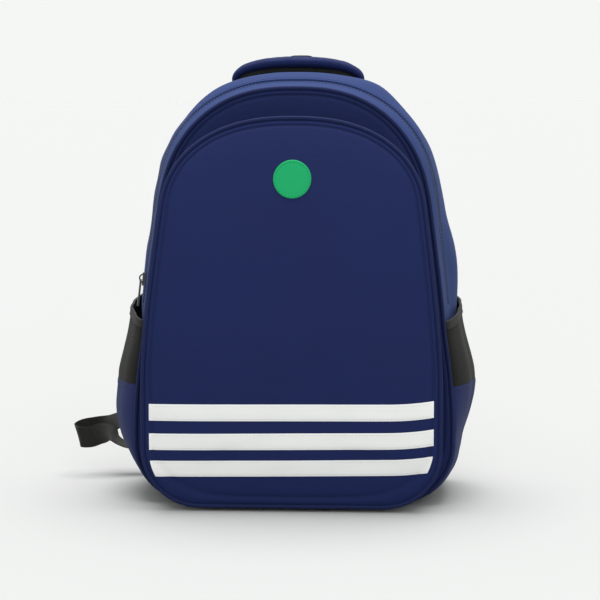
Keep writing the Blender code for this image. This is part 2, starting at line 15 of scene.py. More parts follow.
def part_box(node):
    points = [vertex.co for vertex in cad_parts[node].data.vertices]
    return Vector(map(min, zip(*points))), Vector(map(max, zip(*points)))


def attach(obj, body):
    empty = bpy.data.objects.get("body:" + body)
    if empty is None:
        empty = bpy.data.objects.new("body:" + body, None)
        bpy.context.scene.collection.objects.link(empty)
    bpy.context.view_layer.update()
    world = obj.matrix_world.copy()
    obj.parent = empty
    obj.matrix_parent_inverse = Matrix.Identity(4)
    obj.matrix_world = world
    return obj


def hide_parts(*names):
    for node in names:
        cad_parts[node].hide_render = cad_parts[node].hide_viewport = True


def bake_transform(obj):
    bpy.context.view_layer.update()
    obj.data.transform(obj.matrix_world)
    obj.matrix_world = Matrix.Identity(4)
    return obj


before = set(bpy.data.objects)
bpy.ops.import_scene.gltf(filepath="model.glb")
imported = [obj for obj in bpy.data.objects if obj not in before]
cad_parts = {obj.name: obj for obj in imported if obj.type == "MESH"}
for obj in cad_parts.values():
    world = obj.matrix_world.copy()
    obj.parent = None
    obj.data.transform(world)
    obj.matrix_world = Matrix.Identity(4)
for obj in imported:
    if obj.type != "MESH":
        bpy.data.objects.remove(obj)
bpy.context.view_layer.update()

bl_info = {
    "name": "School backpack",
    "version": (1, 0, 0),
    "blender": (4, 5, 0),
    "location": "View3D > Sidebar > Backpack",
    "description": "Builds a padded school backpack with zips, side pockets and shoulder straps",
    "category": "Object",
}

# ---- The bag's lines, as the frame was cut ------------------------------------------
PANEL_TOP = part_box("front_panel_upper")[1][2]
PANEL_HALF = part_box("front_panel_lower")[1][0]
WALL_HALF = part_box("front_wall_lower")[1][0]
FOLD_Z = 0.195  # where the front folds and both zips end
Z_CORNER = 0.060  # top of the rounded bottom corners
Z_SHOULDER = 0.295  # start of the arched top
Z_TAPER = 0.130  # the sides lean in above this level
TAPER_POWER = 1.35
CORNER = 0.055  # radius of the bottom corners
FOOT_FLARE = 0.0062  # how far the sides spread at the ground
FLARE_FROM, FLARE_TO = 0.075, 0.180  # levels over which that spread fades away

# Half width, taper, top, bottom, roundness of the arch
FRONT_EDGE = (WALL_HALF, 0.200, 0.408, 0.005, 2.5)
REAR_EDGE = (0.150, 0.160, 0.417, 0.005, 2.5)
PANEL_EDGE = (PANEL_HALF, 0.185, PANEL_TOP + 0.0001, 0.007, 2.4)
BULGE_WIDTH = 0.010
BULGE_TOP = 0.009
WALL = 0.004
SHEET = 0.0024  # the cloth and lining of a gusset

ZIP_V = 0.220  # the main zip's place between front (0) and rear (1)
ZIP_MOUTH = 0.024  # half the gap between its two folded cloth edges
S_FOLD = 2.0 + (FOLD_Z - Z_CORNER) / (Z_SHOULDER - Z_CORNER)
POCKET_ZIP = 0.500
POCKET_MOUTH = 0.095

STRIPS = (("reflective_strip_1", 0.0905, 0.1067, 0.007), ("reflective_strip_2", 0.0624, 0.0785, 0.012),
          ("reflective_strip_3", 0.0361, 0.0518, 0.014))
STRIP_THICK = 0.0009
STRIP_INSET = 0.0047  # from the front panel's edge to the strips' ends
STRIP_SEAM_INSET = 0.0070
HANDLE_REACH = 0.065
HANDLE_SHIFT = -0.0012  # the handle's middle lies a little to the left
TAB_THICK = 0.0018
CLOTH_GAP = 0.0002  # between a sewn-on cloth and the cloth under it
PATCH_RISE = 0.0022  # how far the middle of a sewn-on cloth stands above its rim
HANDLE_SEAT = 0.0030  # how far the handle's ends stay above the bag's top
SEAM_Z = 0.117  # where the side pockets change from cloth to mesh
RIM_FRONT, RIM_REAR = 0.180, 0.202
STRAP_LINE = ((0.0485, 0.0860, 0.3950), (0.050, 0.0945, 0.387), (0.055, 0.110, 0.362),
              (0.062, 0.126, 0.310), (0.070, 0.134, 0.245), (0.078, 0.130, 0.185), (0.084, 0.120, 0.140))
# Lower webbings from anchor to buckle: a point, and the direction across the webbing there
WEBBING = {
    "right": (((0.128, 0.0945, 0.034), (1, 0, 0.1)), ((0.126, 0.104, 0.052), (1, 0, 0)),
              ((0.110, 0.1110, 0.076), (1, 0, 0)), ((0.0915, 0.1085, 0.0990), (1, 0, 0))),
    "left": (((-0.130, 0.0945, 0.030), (0, 0.3, 1)), ((-0.155, 0.0955, 0.025), (0, 0.9, 0.45)),
             ((-0.182, 0.0940, 0.0297), (0, 1, 0.1)), ((-0.1947, 0.0900, 0.0362), (0, 1, 0.2)),
             ((-0.2020, 0.0880, 0.0440), (0.3, 0.85, 0.5)), ((-0.2130, 0.0860, 0.0440), (0.2, 0.35, 1)),
             ((-0.2240, 0.0840, 0.0405), (-0.1, 0, 1)), ((-0.2345, 0.0850, 0.0405), (-0.25, 0, 1)),
             ((-0.2385, 0.0940, 0.0430), (-0.28, 0, 1)), ((-0.2325, 0.1020, 0.0460), (-0.2, 0, 1)),
             ((-0.2200, 0.1050, 0.0480), (-0.1, 0, 1)), ((-0.2080, 0.1050, 0.0500), (0, 0.4, 0.9)),
             ((-0.1947, 0.1040, 0.0561), (-0.3, 0.75, 0.6)), ((-0.168, 0.1060, 0.0640), (-0.3, 0.3, 0.9)),
             ((-0.135, 0.1110, 0.0640), (-0.1, 0, 1)), ((-0.108, 0.1125, 0.0740), (-0.6, 0, 0.8)),
             ((-0.0915, 0.1090, 0.0985), (-1, 0, 0))),
}


def colour_property(name, description, value):
    return FloatVectorProperty(name=name, description=description, default=value, size=3,
                               min=0.0, max=1.0, subtype="COLOR")


def length_property(name, description, value):
    return FloatProperty(name=name, description=description, default=value, min=0.0,
                         unit="LENGTH", subtype="DISTANCE", precision=5)


class BackpackSizes(bpy.types.PropertyGroup):
    """Sizes that a maker would change."""

    piping: length_property("Piping radius", "Radius of the corded edge round each panel", 0.0021)
    stitch_pitch: length_property("Stitch pitch", "From one stitch to the next", 0.0034)
    stitch_length: length_property("Stitch length", "Length of the thread that shows", 0.0025)
    stitch_radius: length_property("Thread radius", "Radius of the sewing thread", 0.00026)
    seam_inset: length_property("Seam inset", "From a panel's edge to its stitched line", 0.0050)
    seam_depth: length_property("Seam depth", "How deep the stitched line pulls in", 0.0012)
    crown: length_property("Crown", "How far the padded front panel swells", 0.0030)
    crease: length_property("Crease", "Height of the soft creases in the gussets", 0.0028)
    tooth_pitch: length_property("Tooth pitch", "From one zip tooth to the next", 0.0019)
    webbing: length_property("Webbing width", "Width of the lower strap webbing", 0.022)
    pad_cap: length_property("Cushion swell", "The most that a back cushion's skin moves as it fills", 0.0035)
    strap_cap: length_property("Strap swell", "The most that a strap's skin moves as it fills", 0.0030)
    weave: length_property("Weave pitch", "From one thread of the cloth to the next", 0.0007)


class BackpackColours(bpy.types.PropertyGroup):
    """Colours that a maker would change."""

    cloth: colour_property("Cloth", "Main navy cloth", (0.0066, 0.0125, 0.0600))
    # Painted light: the gussets are the main navy cloth, set lighter here to stand in for the light from
    # above that falls on their tops
    gusset: colour_property("Gusset", "Navy cloth of the gussets", (0.0125, 0.0268, 0.1010))
    side: colour_property("Side pocket", "Cloth of the side pockets", (0.0112, 0.0168, 0.0660))
    piping: colour_property("Piping", "Corded edges", (0.0066, 0.0115, 0.0500))
    black: colour_property("Black", "Webbing, mesh and zip tape", (0.0062, 0.0066, 0.0054))
    lining: colour_property("Lining", "Inner lining", (0.075, 0.080, 0.095))
    strip: colour_property("Strips", "Reflective strips", (0.610, 0.616, 0.610))
    patch: colour_property("Patch", "Round patch", (0.0035, 0.258, 0.086))
    thread: colour_property("Thread", "Sewing thread", (0.0090, 0.0130, 0.0480))
    metal: colour_property("Sliders", "Zip sliders and pulls", (0.050, 0.052, 0.058))
    floor: colour_property("Floor", "Pale floor", (0.336, 0.338, 0.336))


def sizes():
    return bpy.context.scene.backpack_sizes


def colours():
    return bpy.context.scene.backpack_colours


# ---- Lines and surfaces ---------------------------------------------------------------
def side_x(shape, z):
    return shape[0] - shape[1] * max(0.0, z - Z_TAPER) ** TAPER_POWER


def foot_flare(shape, z):
    """Spread of the main front wall and gusset towards the ground, where the load settles."""
    if shape[0] < WALL_HALF - 0.002:
        return 0.0
    rise = min(1.0, max(0.0, (z - FLARE_FROM) / (FLARE_TO - FLARE_FROM)))
    return FOOT_FLARE * (1 - rise * rise * (3 - 2 * rise))


def outline_point(shape, s, inset=0.0):
    """Right half of an outline: s runs 0-1 along the base, 1-2 round the corner, 2-3 up, 3-4 over the top."""
    width, taper, top, bottom, power = shape
    grown = (width - inset, taper, top - inset, bottom + inset, power)
    flare = foot_flare(shape, Z_CORNER)
    if s <= 1.0:
        return (grown[0] + flare - CORNER) * s, grown[3]
    if s <= 2.0:
        angle = (s - 1.0) * math.pi / 2
        x = grown[0] + flare - CORNER + CORNER * math.sin(angle)
        return x, Z_CORNER - (Z_CORNER - grown[3]) * math.cos(angle)
    if s <= 3.0:
        z = Z_CORNER + (Z_SHOULDER - Z_CORNER) * (s - 2.0)
        return side_x(grown, z) + foot_flare(shape, z), z
    angle = (s - 3.0) * math.pi / 2
    z = Z_SHOULDER + (grown[2] - Z_SHOULDER) * math.sin(angle) ** (2 / power)
    return side_x(grown, z) * max(0.0, math.cos(angle)) ** (2 / power), z


def station_of(z):
    return 2.0 + (z - Z_CORNER) / (Z_SHOULDER - Z_CORNER)


def panel_y(z):
    return -0.103 + 0.515 * (z - 0.090) ** 2


def wall_y(z):
    return -0.062 + 0.064 * z


def back_y(z):
    return 0.088 - 0.015 * z


def body_shape(v):
    swell = max(0.0, math.sin(math.pi * v)) ** 0.7
    width, taper, top, _, power = [a + (b - a) * v for a, b in zip(FRONT_EDGE, REAR_EDGE)]
    ends = max(0.0, 1.0 - min(v, 1.0 - v) / 0.12)
    return width + BULGE_WIDTH * swell, taper - 0.03 * swell, top + BULGE_TOP * swell, 0.005 * ends, power


def body_point(side, s, v, inset=0.0, out=0.0):
    x, z = outline_point(body_shape(v), s, inset)
    return Vector((side * (x + out), wall_y(z) + v * (back_y(z) - wall_y(z)), max(0.0004, z)))


def creases(p, size):
    """Soft folds of the cloth: long ones from the filling, short ones where the seams pull."""
    broad = noise.noise(p * 11.0)
    slant = noise.noise(Vector((p.x * 9, p.y * 24, p.z * 30 + p.x * 22)))
    fine = noise.noise(p * 55.0)
    return size * (0.55 * broad + 0.45 * slant + 0.12 * fine)


def swell_at(side, s, v, z):
    """Where the filling pushes the gusset out: the shoulders of the arch and the sides above the pockets."""
    rear = max(0.0, min(1.0, (v - 0.27) / 0.22)) * max(0.0, min(1.0, (1 - v) / 0.2))
    shoulder = math.exp(-(((s - 3.66) / 0.13) ** 2)) * (0.0018 if side < 0 else 0.0050)
    flank = math.exp(-(((z - 0.230) / 0.050) ** 2)) * (0.0030 if side < 0 else 0.0085)
    crest = 0.0052 * math.exp(-(((s - 4.0) / 0.50) ** 2) - ((v - 0.40) / 0.14) ** 2) if s > 3.0 else 0.0
    return rear * (shoulder + (flank if s < 3.3 else 0.0)) + crest


def gusset_point(side, s, v, under=0.0):
    """The main gusset's skin, creased between its seams."""
    plain = body_point(side, s, v)
    calm = min(1.0, abs(v - ZIP_V) / 0.07) if s > S_FOLD else 1.0
    edge = min(1.0, v / 0.16, (1.0 - v) / 0.16)
    calm *= 1 - 0.8 * min(1.0, max(0.0, (plain.z - 0.385) / 0.020))
    lift = creases(plain, sizes().crease) * max(0.0, edge) * calm + swell_at(side, s, v, plain.z)
    if s < 1.4:
        lift = 0.0
    return body_point(side, s, v, inset=under - lift)


def pocket_point(side, s, share, inset=0.0):
    """The front pocket's gusset, from behind the front panel (0) to the front wall (1)."""
    x, z = outline_point(PANEL_EDGE, s, 0.0015 + inset)
    front = panel_y(z) + WALL * 0.8
    hollow = 0.0016 * math.sin(math.pi * share)
    x = x - hollow + creases(Vector((side * x, front + share * 0.04, z)), 0.0012) * math.sin(math.pi * share)
    return Vector((side * x, front + share * (wall_y(z) - front), z))


def stations(spans):
    """Stations through the given spans of (start, end, steps)."""
    made = [spans[0][0]]
    for start, end, steps in spans:
        made += [start + (end - start) * (i + 1) / steps for i in range(steps)]
    return made


HALF_ROUND = stations(((0, 1, 8), (1, 2, 16), (2, S_FOLD, 22), (S_FOLD, 3, 16), (3, 4, 40)))
ROUND = [(1, s) for s in HALF_ROUND] + [(-1, s) for s in reversed(HALF_ROUND[1:-1])]


def over_top(start=S_FOLD, side_steps=16, top_steps=36):
    half = stations(((start, 3, side_steps), (3, 4, top_steps)))
    return [(-1, s) for s in half] + [(1, s) for s in reversed(half[:-1])]


def under_base(end=S_FOLD):
    half = stations(((0, 1, 6), (1, 2, 16), (2, end, 18)))
    return [(-1, s) for s in reversed(half[1:])] + [(1, s) for s in half]


# ---- Mesh work ---------------------------------------------------------------------------
SMOOTH_ANGLE = 38.0  # sharper edges than this stay sharp, in degrees


def piece_from(name, bm, finishes, body, replaced=()):
    """Turns a finished bmesh into a piece that rides on a body. A single finish covers every face."""
    single = not isinstance(finishes, (list, tuple))
    bmesh.ops.recalc_face_normals(bm, faces=bm.faces)
    for face in bm.faces:
        face.smooth = True
        if single:
            face.material_index = 0
    limit = math.radians(SMOOTH_ANGLE)
    for edge in bm.edges:
        edge.smooth = not (len(edge.link_faces) == 2 and edge.calc_face_angle(0.0) > limit)
    mesh = bpy.data.meshes.new(name)
    bm.to_mesh(mesh)
    bm.free()
    obj = bpy.data.objects.new(name, mesh)
    bpy.context.scene.collection.objects.link(obj)
    for material in [finishes] if single else finishes:
        mesh.materials.append(material)
    if body:
        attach(obj, body)
    if replaced:
        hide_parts(*replaced)
    return obj


def cloth_mesh(outer, inner, wraps=False, keep=None, hub=False):
    """Closed cloth between two grids of points. keep picks the cells, hub joins the last column to itself."""
    bm = bmesh.new()
    rows, cols = len(outer), len(outer[0])
    span = rows if wraps else rows - 1
    cells = {(i, j) for i in range(span) for j in range(cols - 1) if keep is None or keep(i, j)}
    made = {}

    def vert(layer, i, j):
        key = (layer, i % rows, j)
        if key not in made:
            made[key] = bm.verts.new((outer, inner)[layer][i % rows][j])
        return made[key]

    for i, j in sorted(cells):
        corners = ((i, j), (i + 1, j), (i + 1, j + 1), (i, j + 1))
        bm.faces.new([vert(0, *c) for c in corners])
        lining = bm.faces.new([vert(1, *c) for c in reversed(corners)])
        lining.material_index = 1
        before = (i - 1) % rows if wraps else i - 1
        after = (i + 1) % rows if wraps else i + 1
        sides = (((before, j), corners[3], corners[0]), ((after, j), corners[1], corners[2]),
                 ((i, j - 1), corners[0], corners[1]), ((i, j + 1), corners[2], corners[3]))
        for other, a, b in sides:
            if other not in cells and not (hub and other[1] == cols - 1):
                bm.faces.new((vert(0, *a), vert(1, *a), vert(1, *b), vert(0, *b)))
    if hub:
        ends = [v for (layer, i, j), v in made.items() if j == cols - 1]
        bmesh.ops.remove_doubles(bm, verts=ends, dist=0.00005)
    return bm


def two_layers(rows, cols, spot):
    """Outer and inner grids of a cloth. spot(row, column, outer) takes its row and column as shares."""
    return [[[spot(i / rows, j / cols, outer) for j in range(cols + 1)] for i in range(rows + 1)]
            for outer in (True, False)]


def frame_along(path, first=Vector((0, 1, 0))):
    """Directions along, across and out of a path, without twist."""
    made = []
    normal = Vector(first)
    count = len(path) - 1
    for i in range(len(path)):
        along = (path[min(i + 1, count)] - path[max(i - 1, 0)]).normalized()
        across = along.cross(normal).normalized()
        normal = across.cross(along).normalized()
        made.append((along, across, normal))
    return made


def tube_into(bm, path, radius, sides=8, first=Vector((0, 1, 0)), wobble=0.0):
    """A closed round cord along a path, a little uneven where wobble asks for it."""
    rings = []
    for point, (_, across, normal) in zip(path, frame_along(path, first)):
        ring = []
        for k in range(sides):
            angle = 2 * math.pi * (k + 0.5) / sides
            offset = math.cos(angle) * across + math.sin(angle) * normal
            grow = 1.0 + wobble * noise.noise((point + offset * radius) * 190.0)
            ring.append(bm.verts.new(point + offset * radius * grow))
        rings.append(ring)
    for first_ring, second in zip(rings, rings[1:]):
        for k in range(sides):
            m = (k + 1) % sides
            bm.faces.new((first_ring[k], first_ring[m], second[m], second[k]))
    bm.faces.new(rings[0])
    bm.faces.new(rings[-1])


def bead_into(bm, centre, along, across, out, length, width, height):
    """A small rounded bead, such as one stitch or one zip tooth."""
    rings = []
    for share, size in ((-0.62, 0.78), (0.62, 0.78)):
        ring = []
        for k in range(6):
            angle = math.pi * k / 3
            spot = centre + along * (length / 2 * share)
            spot = spot + across * (width / 2 * size * math.cos(angle))
            spot = spot + out * (height / 2 * size * math.sin(angle))
            ring.append(bm.verts.new(spot))
        rings.append(ring)
    tips = [bm.verts.new(centre + along * (length / 2 * end)) for end in (-1, 1)]
    for k in range(6):
        m = (k + 1) % 6
        bm.faces.new((rings[0][k], rings[0][m], rings[1][m], rings[1][k]))
        bm.faces.new((rings[0][m], rings[0][k], tips[0]))
        bm.faces.new((rings[1][k], rings[1][m], tips[1]))


def smooth_path(points, steps):
    """Catmull-Rom curve through the points."""
    pts = [Vector(p) for p in points]
    pts = [pts[0] * 2 - pts[1]] + pts + [pts[-1] * 2 - pts[-2]]
    made = []
    for a, b, c, d in zip(pts, pts[1:], pts[2:], pts[3:]):
        for i in range(steps):
            t = i / steps
            made.append(0.5 * (2 * b + (c - a) * t + (2 * a - 5 * b + 4 * c - d) * t**2
                               + (3 * b - a - 3 * c + d) * t**3))
    return made + [pts[-2]]


def evenly(path, pitch):
    """Points every pitch along a path, each with its direction."""
    made = []
    left = pitch / 2
    for a, b in zip(path, path[1:]):
        length = (b - a).length
        if length < 1e-7:
            continue
        along = (b - a) / length
        while left <= length:
            made.append((a + along * left, along))
            left += pitch
        left -= length
    return made


def sew(bm, path, out, sink=0.0):
    """A row of stitches along a path. out gives the direction away from the cloth at a point."""
    size = sizes()
    for point, along in evenly(path, size.stitch_pitch):
        away = Vector(out(point) if callable(out) else out).normalized()
        across = along.cross(away).normalized()
        centre = point + away * (size.stitch_radius * 0.5 - sink)
        bead_into(bm, centre, along, across, away, size.stitch_length, size.stitch_radius * 2.4,
                  size.stitch_radius * 2)


def ribbon_grids(path, across, width, thick, cols=4, soft_edge=0.3):
    """Outer and inner grids of a flat strap along a path."""
    outer, inner = [], []
    count = len(path) - 1
    for i, point in enumerate(path):
        share = i / count
        along = (path[min(i + 1, count)] - path[max(i - 1, 0)]).normalized()
        side = Vector(across(share))
        side = (side - side.dot(along) * along).normalized()
        normal = along.cross(side)
        w = width(share) if callable(width) else width
        t = thick(share) if callable(thick) else thick
        rows = [[], []]
        for j in range(cols + 1):
            f = 2 * j / cols - 1
            local = t * (1 - soft_edge * abs(f) ** 4)
            spot = point + side * (w / 2 * f)
            rows[0].append(spot + normal * (local / 2))
            rows[1].append(spot - normal * (local / 2))
        outer.append(rows[0])
        inner.append(rows[1])
    return outer, inner


PAD_VOXEL = 0.0040
PAD_PRESSURE = 3.0
PAD_STEPS = 20


def fill_pad(obj, cap):
    """Lets a pad swell as its foam pushes out, then keeps the swollen skin."""
    bpy.context.view_layer.objects.active = obj
    remesh = obj.modifiers.new("even skin", "REMESH")
    remesh.mode = "VOXEL"
    remesh.voxel_size = PAD_VOXEL
    bpy.ops.object.modifier_apply(modifier=remesh.name)
    start = [v.co.copy() for v in obj.data.vertices]
    cloth = obj.modifiers.new("filling", "CLOTH")
    cloth.settings.use_pressure = True
    cloth.settings.uniform_pressure_force = PAD_PRESSURE
    cloth.settings.quality = 5
    cloth.settings.effector_weights.gravity = 0.0
    cloth.collision_settings.use_collision = False
    scene = bpy.context.scene
    for step in range(1, PAD_STEPS + 1):
        scene.frame_set(step)
    posed = obj.evaluated_get(bpy.context.evaluated_depsgraph_get())
    ends = [v.co.copy() for v in posed.data.vertices]
    obj.modifiers.remove(cloth)
    scene.frame_set(1)
    for vert, a, b in zip(obj.data.vertices, start, ends):
        move = b - a
        if move.length > cap:
            move = move.normalized() * cap
        vert.co = a + move
    finer = obj.modifiers.new("finer skin", "SUBSURF")
    finer.levels = 1
    bpy.ops.object.modifier_apply(modifier=finer.name)
    for face in obj.data.polygons:
        face.use_smooth = True


# ---- Finishes ---------------------------------------------------------------------------
class Finish:
    """A material under construction: a few short words for its nodes."""

    def __init__(self, name, colour, roughness, metallic=0.0):
        self.material = bpy.data.materials.new(name)
        self.material.use_nodes = True
        self.nodes = self.material.node_tree.nodes
        self.links = self.material.node_tree.links
        self.shader = self.nodes["Principled BSDF"]
        self.shader.inputs["Base Color"].default_value = (*colour, 1.0)
        self.shader.inputs["Roughness"].default_value = roughness
        self.shader.inputs["Metallic"].default_value = metallic
        self.place = self.nodes.new("ShaderNodeTexCoord").outputs["Object"]

    def node(self, kind, settings=None, **inputs):
        made = self.nodes.new(kind)
        for key, value in (settings or {}).items():
            setattr(made, key, value)
        for key, value in inputs.items():
            socket = made.inputs[key.replace("_", " ")]
            if hasattr(value, "links"):
                self.links.new(value, socket)
            else:
                socket.default_value = value
        return made

    def stretched(self, scale):
        mapping = self.node("ShaderNodeMapping", Vector=self.place)
        mapping.inputs["Scale"].default_value = scale
        return mapping.outputs["Vector"]

    def noise(self, scale, detail=2.0, place=None):
        made = self.node("ShaderNodeTexNoise", Vector=place or self.place, Scale=scale, Detail=detail)
        return made.outputs["Fac"]

    def bands(self, axis, pitch):
        """Threads running across one axis, one pitch apart."""
        made = self.node("ShaderNodeTexWave", {"bands_direction": axis}, Vector=self.place,
                         Scale=math.pi / 10 / pitch, Distortion=0.35, Detail=0.0)
        return made.outputs["Fac"]

    def math(self, operation, a, b=0.5):
        made = self.nodes.new("ShaderNodeMath")
        made.operation = operation
        for socket, value in zip(made.inputs, (a, b)):
            if hasattr(value, "links"):
                self.links.new(value, socket)
            else:
                socket.default_value = value
        return made.outputs["Value"]

    def between(self, share, low, high):
        """A share of 0-1 turned into low-high."""
        made = self.node("ShaderNodeMapRange", Value=share)
        made.inputs["To Min"].default_value = low
        made.inputs["To Max"].default_value = high
        return made.outputs["Result"]

    def shade(self, share, dark, light):
        """A colour from dark to light."""
        ramp = self.node("ShaderNodeValToRGB", Fac=share)
        ramp.color_ramp.elements[0].color = (*dark, 1.0)
        ramp.color_ramp.elements[1].color = (*light, 1.0)
        return ramp.outputs["Color"]

    def colour_from(self, socket):
        self.links.new(socket, self.shader.inputs["Base Color"])

    def roughness_from(self, socket):
        self.links.new(socket, self.shader.inputs["Roughness"])

    def bump_from(self, height, strength, distance):
        bump = self.node("ShaderNodeBump", Height=height, Strength=strength, Distance=distance)
        self.links.new(bump.outputs["Normal"], self.shader.inputs["Normal"])

    def sheen(self, weight, roughness, tint):
        self.shader.inputs["Sheen Weight"].default_value = weight
        self.shader.inputs["Sheen Roughness"].default_value = roughness
        self.shader.inputs["Sheen Tint"].default_value = (*tint, 1.0)


def times(colour, factor):
    return tuple(min(1.0, c * factor) for c in colour)


def woven(name, colour, pitch, spread=0.14, roughness=0.72, sheen=0.035, tint=(0.55, 0.70, 1.0), relief=0.35):
    """Woven polyester: crossed threads, slow change of shade and a faint sheen."""
    made = Finish(name, colour, roughness)
    threads = made.math("ADD", made.bands("X", pitch), made.bands("Z", pitch))
    threads = made.math("ADD", threads, made.bands("Y", pitch))
    threads = made.math("MULTIPLY", threads, 0.333)
    slow = made.noise(9.0, 3.0)
    fibre = made.noise(900.0, 2.0)
    mix = made.math("ADD", made.math("MULTIPLY", slow, 0.55), made.math("MULTIPLY", threads, 0.30))
    mix = made.math("ADD", mix, made.math("MULTIPLY", fibre, 0.15))
    made.colour_from(made.shade(mix, times(colour, 1 - spread * 2), times(colour, 1 + spread * 2)))
    made.roughness_from(made.between(made.math("ADD", made.math("MULTIPLY", slow, 0.5), fibre),
                                     roughness - 0.07, roughness + 0.07))
    made.bump_from(made.math("ADD", threads, made.math("MULTIPLY", fibre, 0.4)), relief, 0.00025)
    made.sheen(sheen, 0.45, tint)
    made.shader.inputs["Specular IOR Level"].default_value = 0.10
    return made.material


def netting(name, colour, pitch, flat_axis, roughness=0.75):
    """Knitted mesh: rows of small open cells. flat_axis is the direction that the cloth faces."""
    made = Finish(name, colour, roughness)
    scale = [1.0, 1.0, 1.0]
    scale["XYZ".index(flat_axis)] = 0.0
    flat = made.stretched(scale)
    cells = made.node("ShaderNodeTexVoronoi", {"feature": "F1"}, Vector=flat, Scale=1 / pitch,
                      Randomness=0.12).outputs["Distance"]
    web = made.between(cells, 0.0, 1.0)
    slow = made.noise(14.0, 2.0)
    mix = made.math("ADD", made.math("MULTIPLY", web, 0.8), made.math("MULTIPLY", slow, 0.35))
    # The open cells are painted dark: painted shade standing in for the dim inside seen through the holes
    made.colour_from(made.shade(mix, times(colour, 0.35), times(colour, 2.1)))
    made.roughness_from(made.between(web, roughness - 0.15, roughness + 0.1))
    made.bump_from(web, 0.8, 0.0005)
    made.sheen(0.02, 0.5, (0.8, 0.85, 0.8))
    made.shader.inputs["Specular IOR Level"].default_value = 0.12
    return made.material


def ribbed(name, colour, pitch=0.0011, roughness=0.6):
    """Woven webbing: a close herringbone of flat ribs."""
    made = Finish(name, colour, roughness)
    ribs = made.math("MULTIPLY", made.bands("X", pitch), made.bands("Z", pitch * 0.6))
    ribs = made.math("ADD", ribs, made.math("MULTIPLY", made.bands("Y", pitch), 0.5))
    fibre = made.noise(1300.0, 2.0)
    mix = made.math("ADD", made.math("MULTIPLY", ribs, 0.5), made.math("MULTIPLY", fibre, 0.35))
    made.colour_from(made.shade(mix, times(colour, 0.6), times(colour, 2.2)))
    made.roughness_from(made.between(fibre, roughness - 0.1, roughness + 0.1))
    made.bump_from(ribs, 0.6, 0.0004)
    made.sheen(0.03, 0.4, (0.85, 0.9, 0.85))
    made.shader.inputs["Specular IOR Level"].default_value = 0.18
    return made.material


def reflective(name, colour):
    """Reflective tape: a pale film of fine beads, a little scuffed."""
    made = Finish(name, colour, 0.42)
    beads = made.node("ShaderNodeTexVoronoi", {"feature": "F1"}, Vector=made.place,
                      Scale=1900.0).outputs["Distance"]
    scuff = made.noise(26.0, 5.0)
    streak = made.noise(8.0, 3.0, made.stretched((0.5, 1.0, 22.0)))
    mix = made.math("ADD", made.math("MULTIPLY", scuff, 0.5), made.math("MULTIPLY", streak, 0.5))
    made.colour_from(made.shade(mix, times(colour, 0.90), times(colour, 1.08)))
    made.roughness_from(made.between(scuff, 0.34, 0.56))
    made.bump_from(beads, 0.12, 0.0002)
    return made.material


def moulded(name, colour, roughness, metallic=0.0):
    """Moulded or cast small parts: fine grain, rubbed smoother in places."""
    made = Finish(name, colour, roughness, metallic)
    grain = made.noise(1800.0, 2.0)
    rub = made.noise(60.0, 4.0)
    made.colour_from(made.shade(rub, times(colour, 0.75), times(colour, 1.5)))
    made.roughness_from(made.between(rub, roughness - 0.12, roughness + 0.15))
    made.bump_from(grain, 0.15, 0.0001)
    return made.material


def spun(name, colour):
    """Sewing thread: twisted, slightly shiny."""
    made = Finish(name, colour, 0.5)
    twist = made.bands("X", 0.0005)
    made.colour_from(made.shade(twist, times(colour, 0.7), times(colour, 1.4)))
    made.bump_from(twist, 0.4, 0.0001)
    made.sheen(0.04, 0.4, (0.6, 0.7, 1.0))
    made.shader.inputs["Specular IOR Level"].default_value = 0.2
    return made.material


def floor_paper(name, colour):
    made = Finish(name, colour, 0.9)
    tone = made.noise(1.6, 2.0)
    made.colour_from(made.shade(tone, times(colour, 0.992), times(colour, 1.008)))
    made.shader.inputs["Specular IOR Level"].default_value = 0.1
    return made.material


FINISHES = {}


def finish(name):
    """The named finish, made once."""
    if name not in FINISHES:
        tone, weave = colours(), sizes().weave
        makers = {
            "panel cloth": lambda n: woven(n, tone.cloth, weave, 0.10),
            # Painted shade: the main navy cloth at 0.86 times its brightness, standing in for the shade on
            # the front wall and the front pocket's gusset
            "wall cloth": lambda n: woven(n, times(tone.cloth, 0.86), weave),
            # Painted light: the gussets' navy is lighter than the main cloth to stand in for light from above
            # on the same cloth
            "gusset cloth": lambda n: woven(n, tone.gusset, weave, 0.12),
            "side cloth": lambda n: woven(n, tone.side, weave, 0.14),
            "strap cloth": lambda n: woven(n, tone.cloth, weave, 0.12),
            "piping cloth": lambda n: woven(n, tone.piping, weave * 0.8, 0.18),
            "lining": lambda n: woven(n, tone.lining, weave * 0.7, 0.08, 0.6, 0.1, (0.9, 0.9, 1.0), 0.2),
            "side mesh": lambda n: netting(n, times(tone.black, 0.62), 0.0021, "X"),
            "pad mesh": lambda n: netting(n, times(tone.black, 1.5), 0.0027, "Y"),
            "webbing": lambda n: ribbed(n, tone.black),
            "zip tape": lambda n: ribbed(n, tone.black, 0.0008),
            "zip teeth": lambda n: moulded(n, times(tone.black, 1.3), 0.38),
            "reflective tape": lambda n: reflective(n, tone.strip),
            "patch print": lambda n: woven(n, tone.patch, weave, 0.06, 0.5, 0.1, (0.6, 1.0, 0.8), 0.25),
            "thread": lambda n: spun(n, tone.thread),
            "pale thread": lambda n: spun(n, times(tone.strip, 0.8)),
            "black thread": lambda n: spun(n, times(tone.black, 1.8)),
            "slider metal": lambda n: moulded(n, tone.metal, 0.35, 0.8),
            "buckle plastic": lambda n: moulded(n, times(tone.black, 1.4), 0.42),
            "floor": lambda n: floor_paper(n, tone.floor),
        }
        FINISHES[name] = makers[name](name)
    return FINISHES[name]


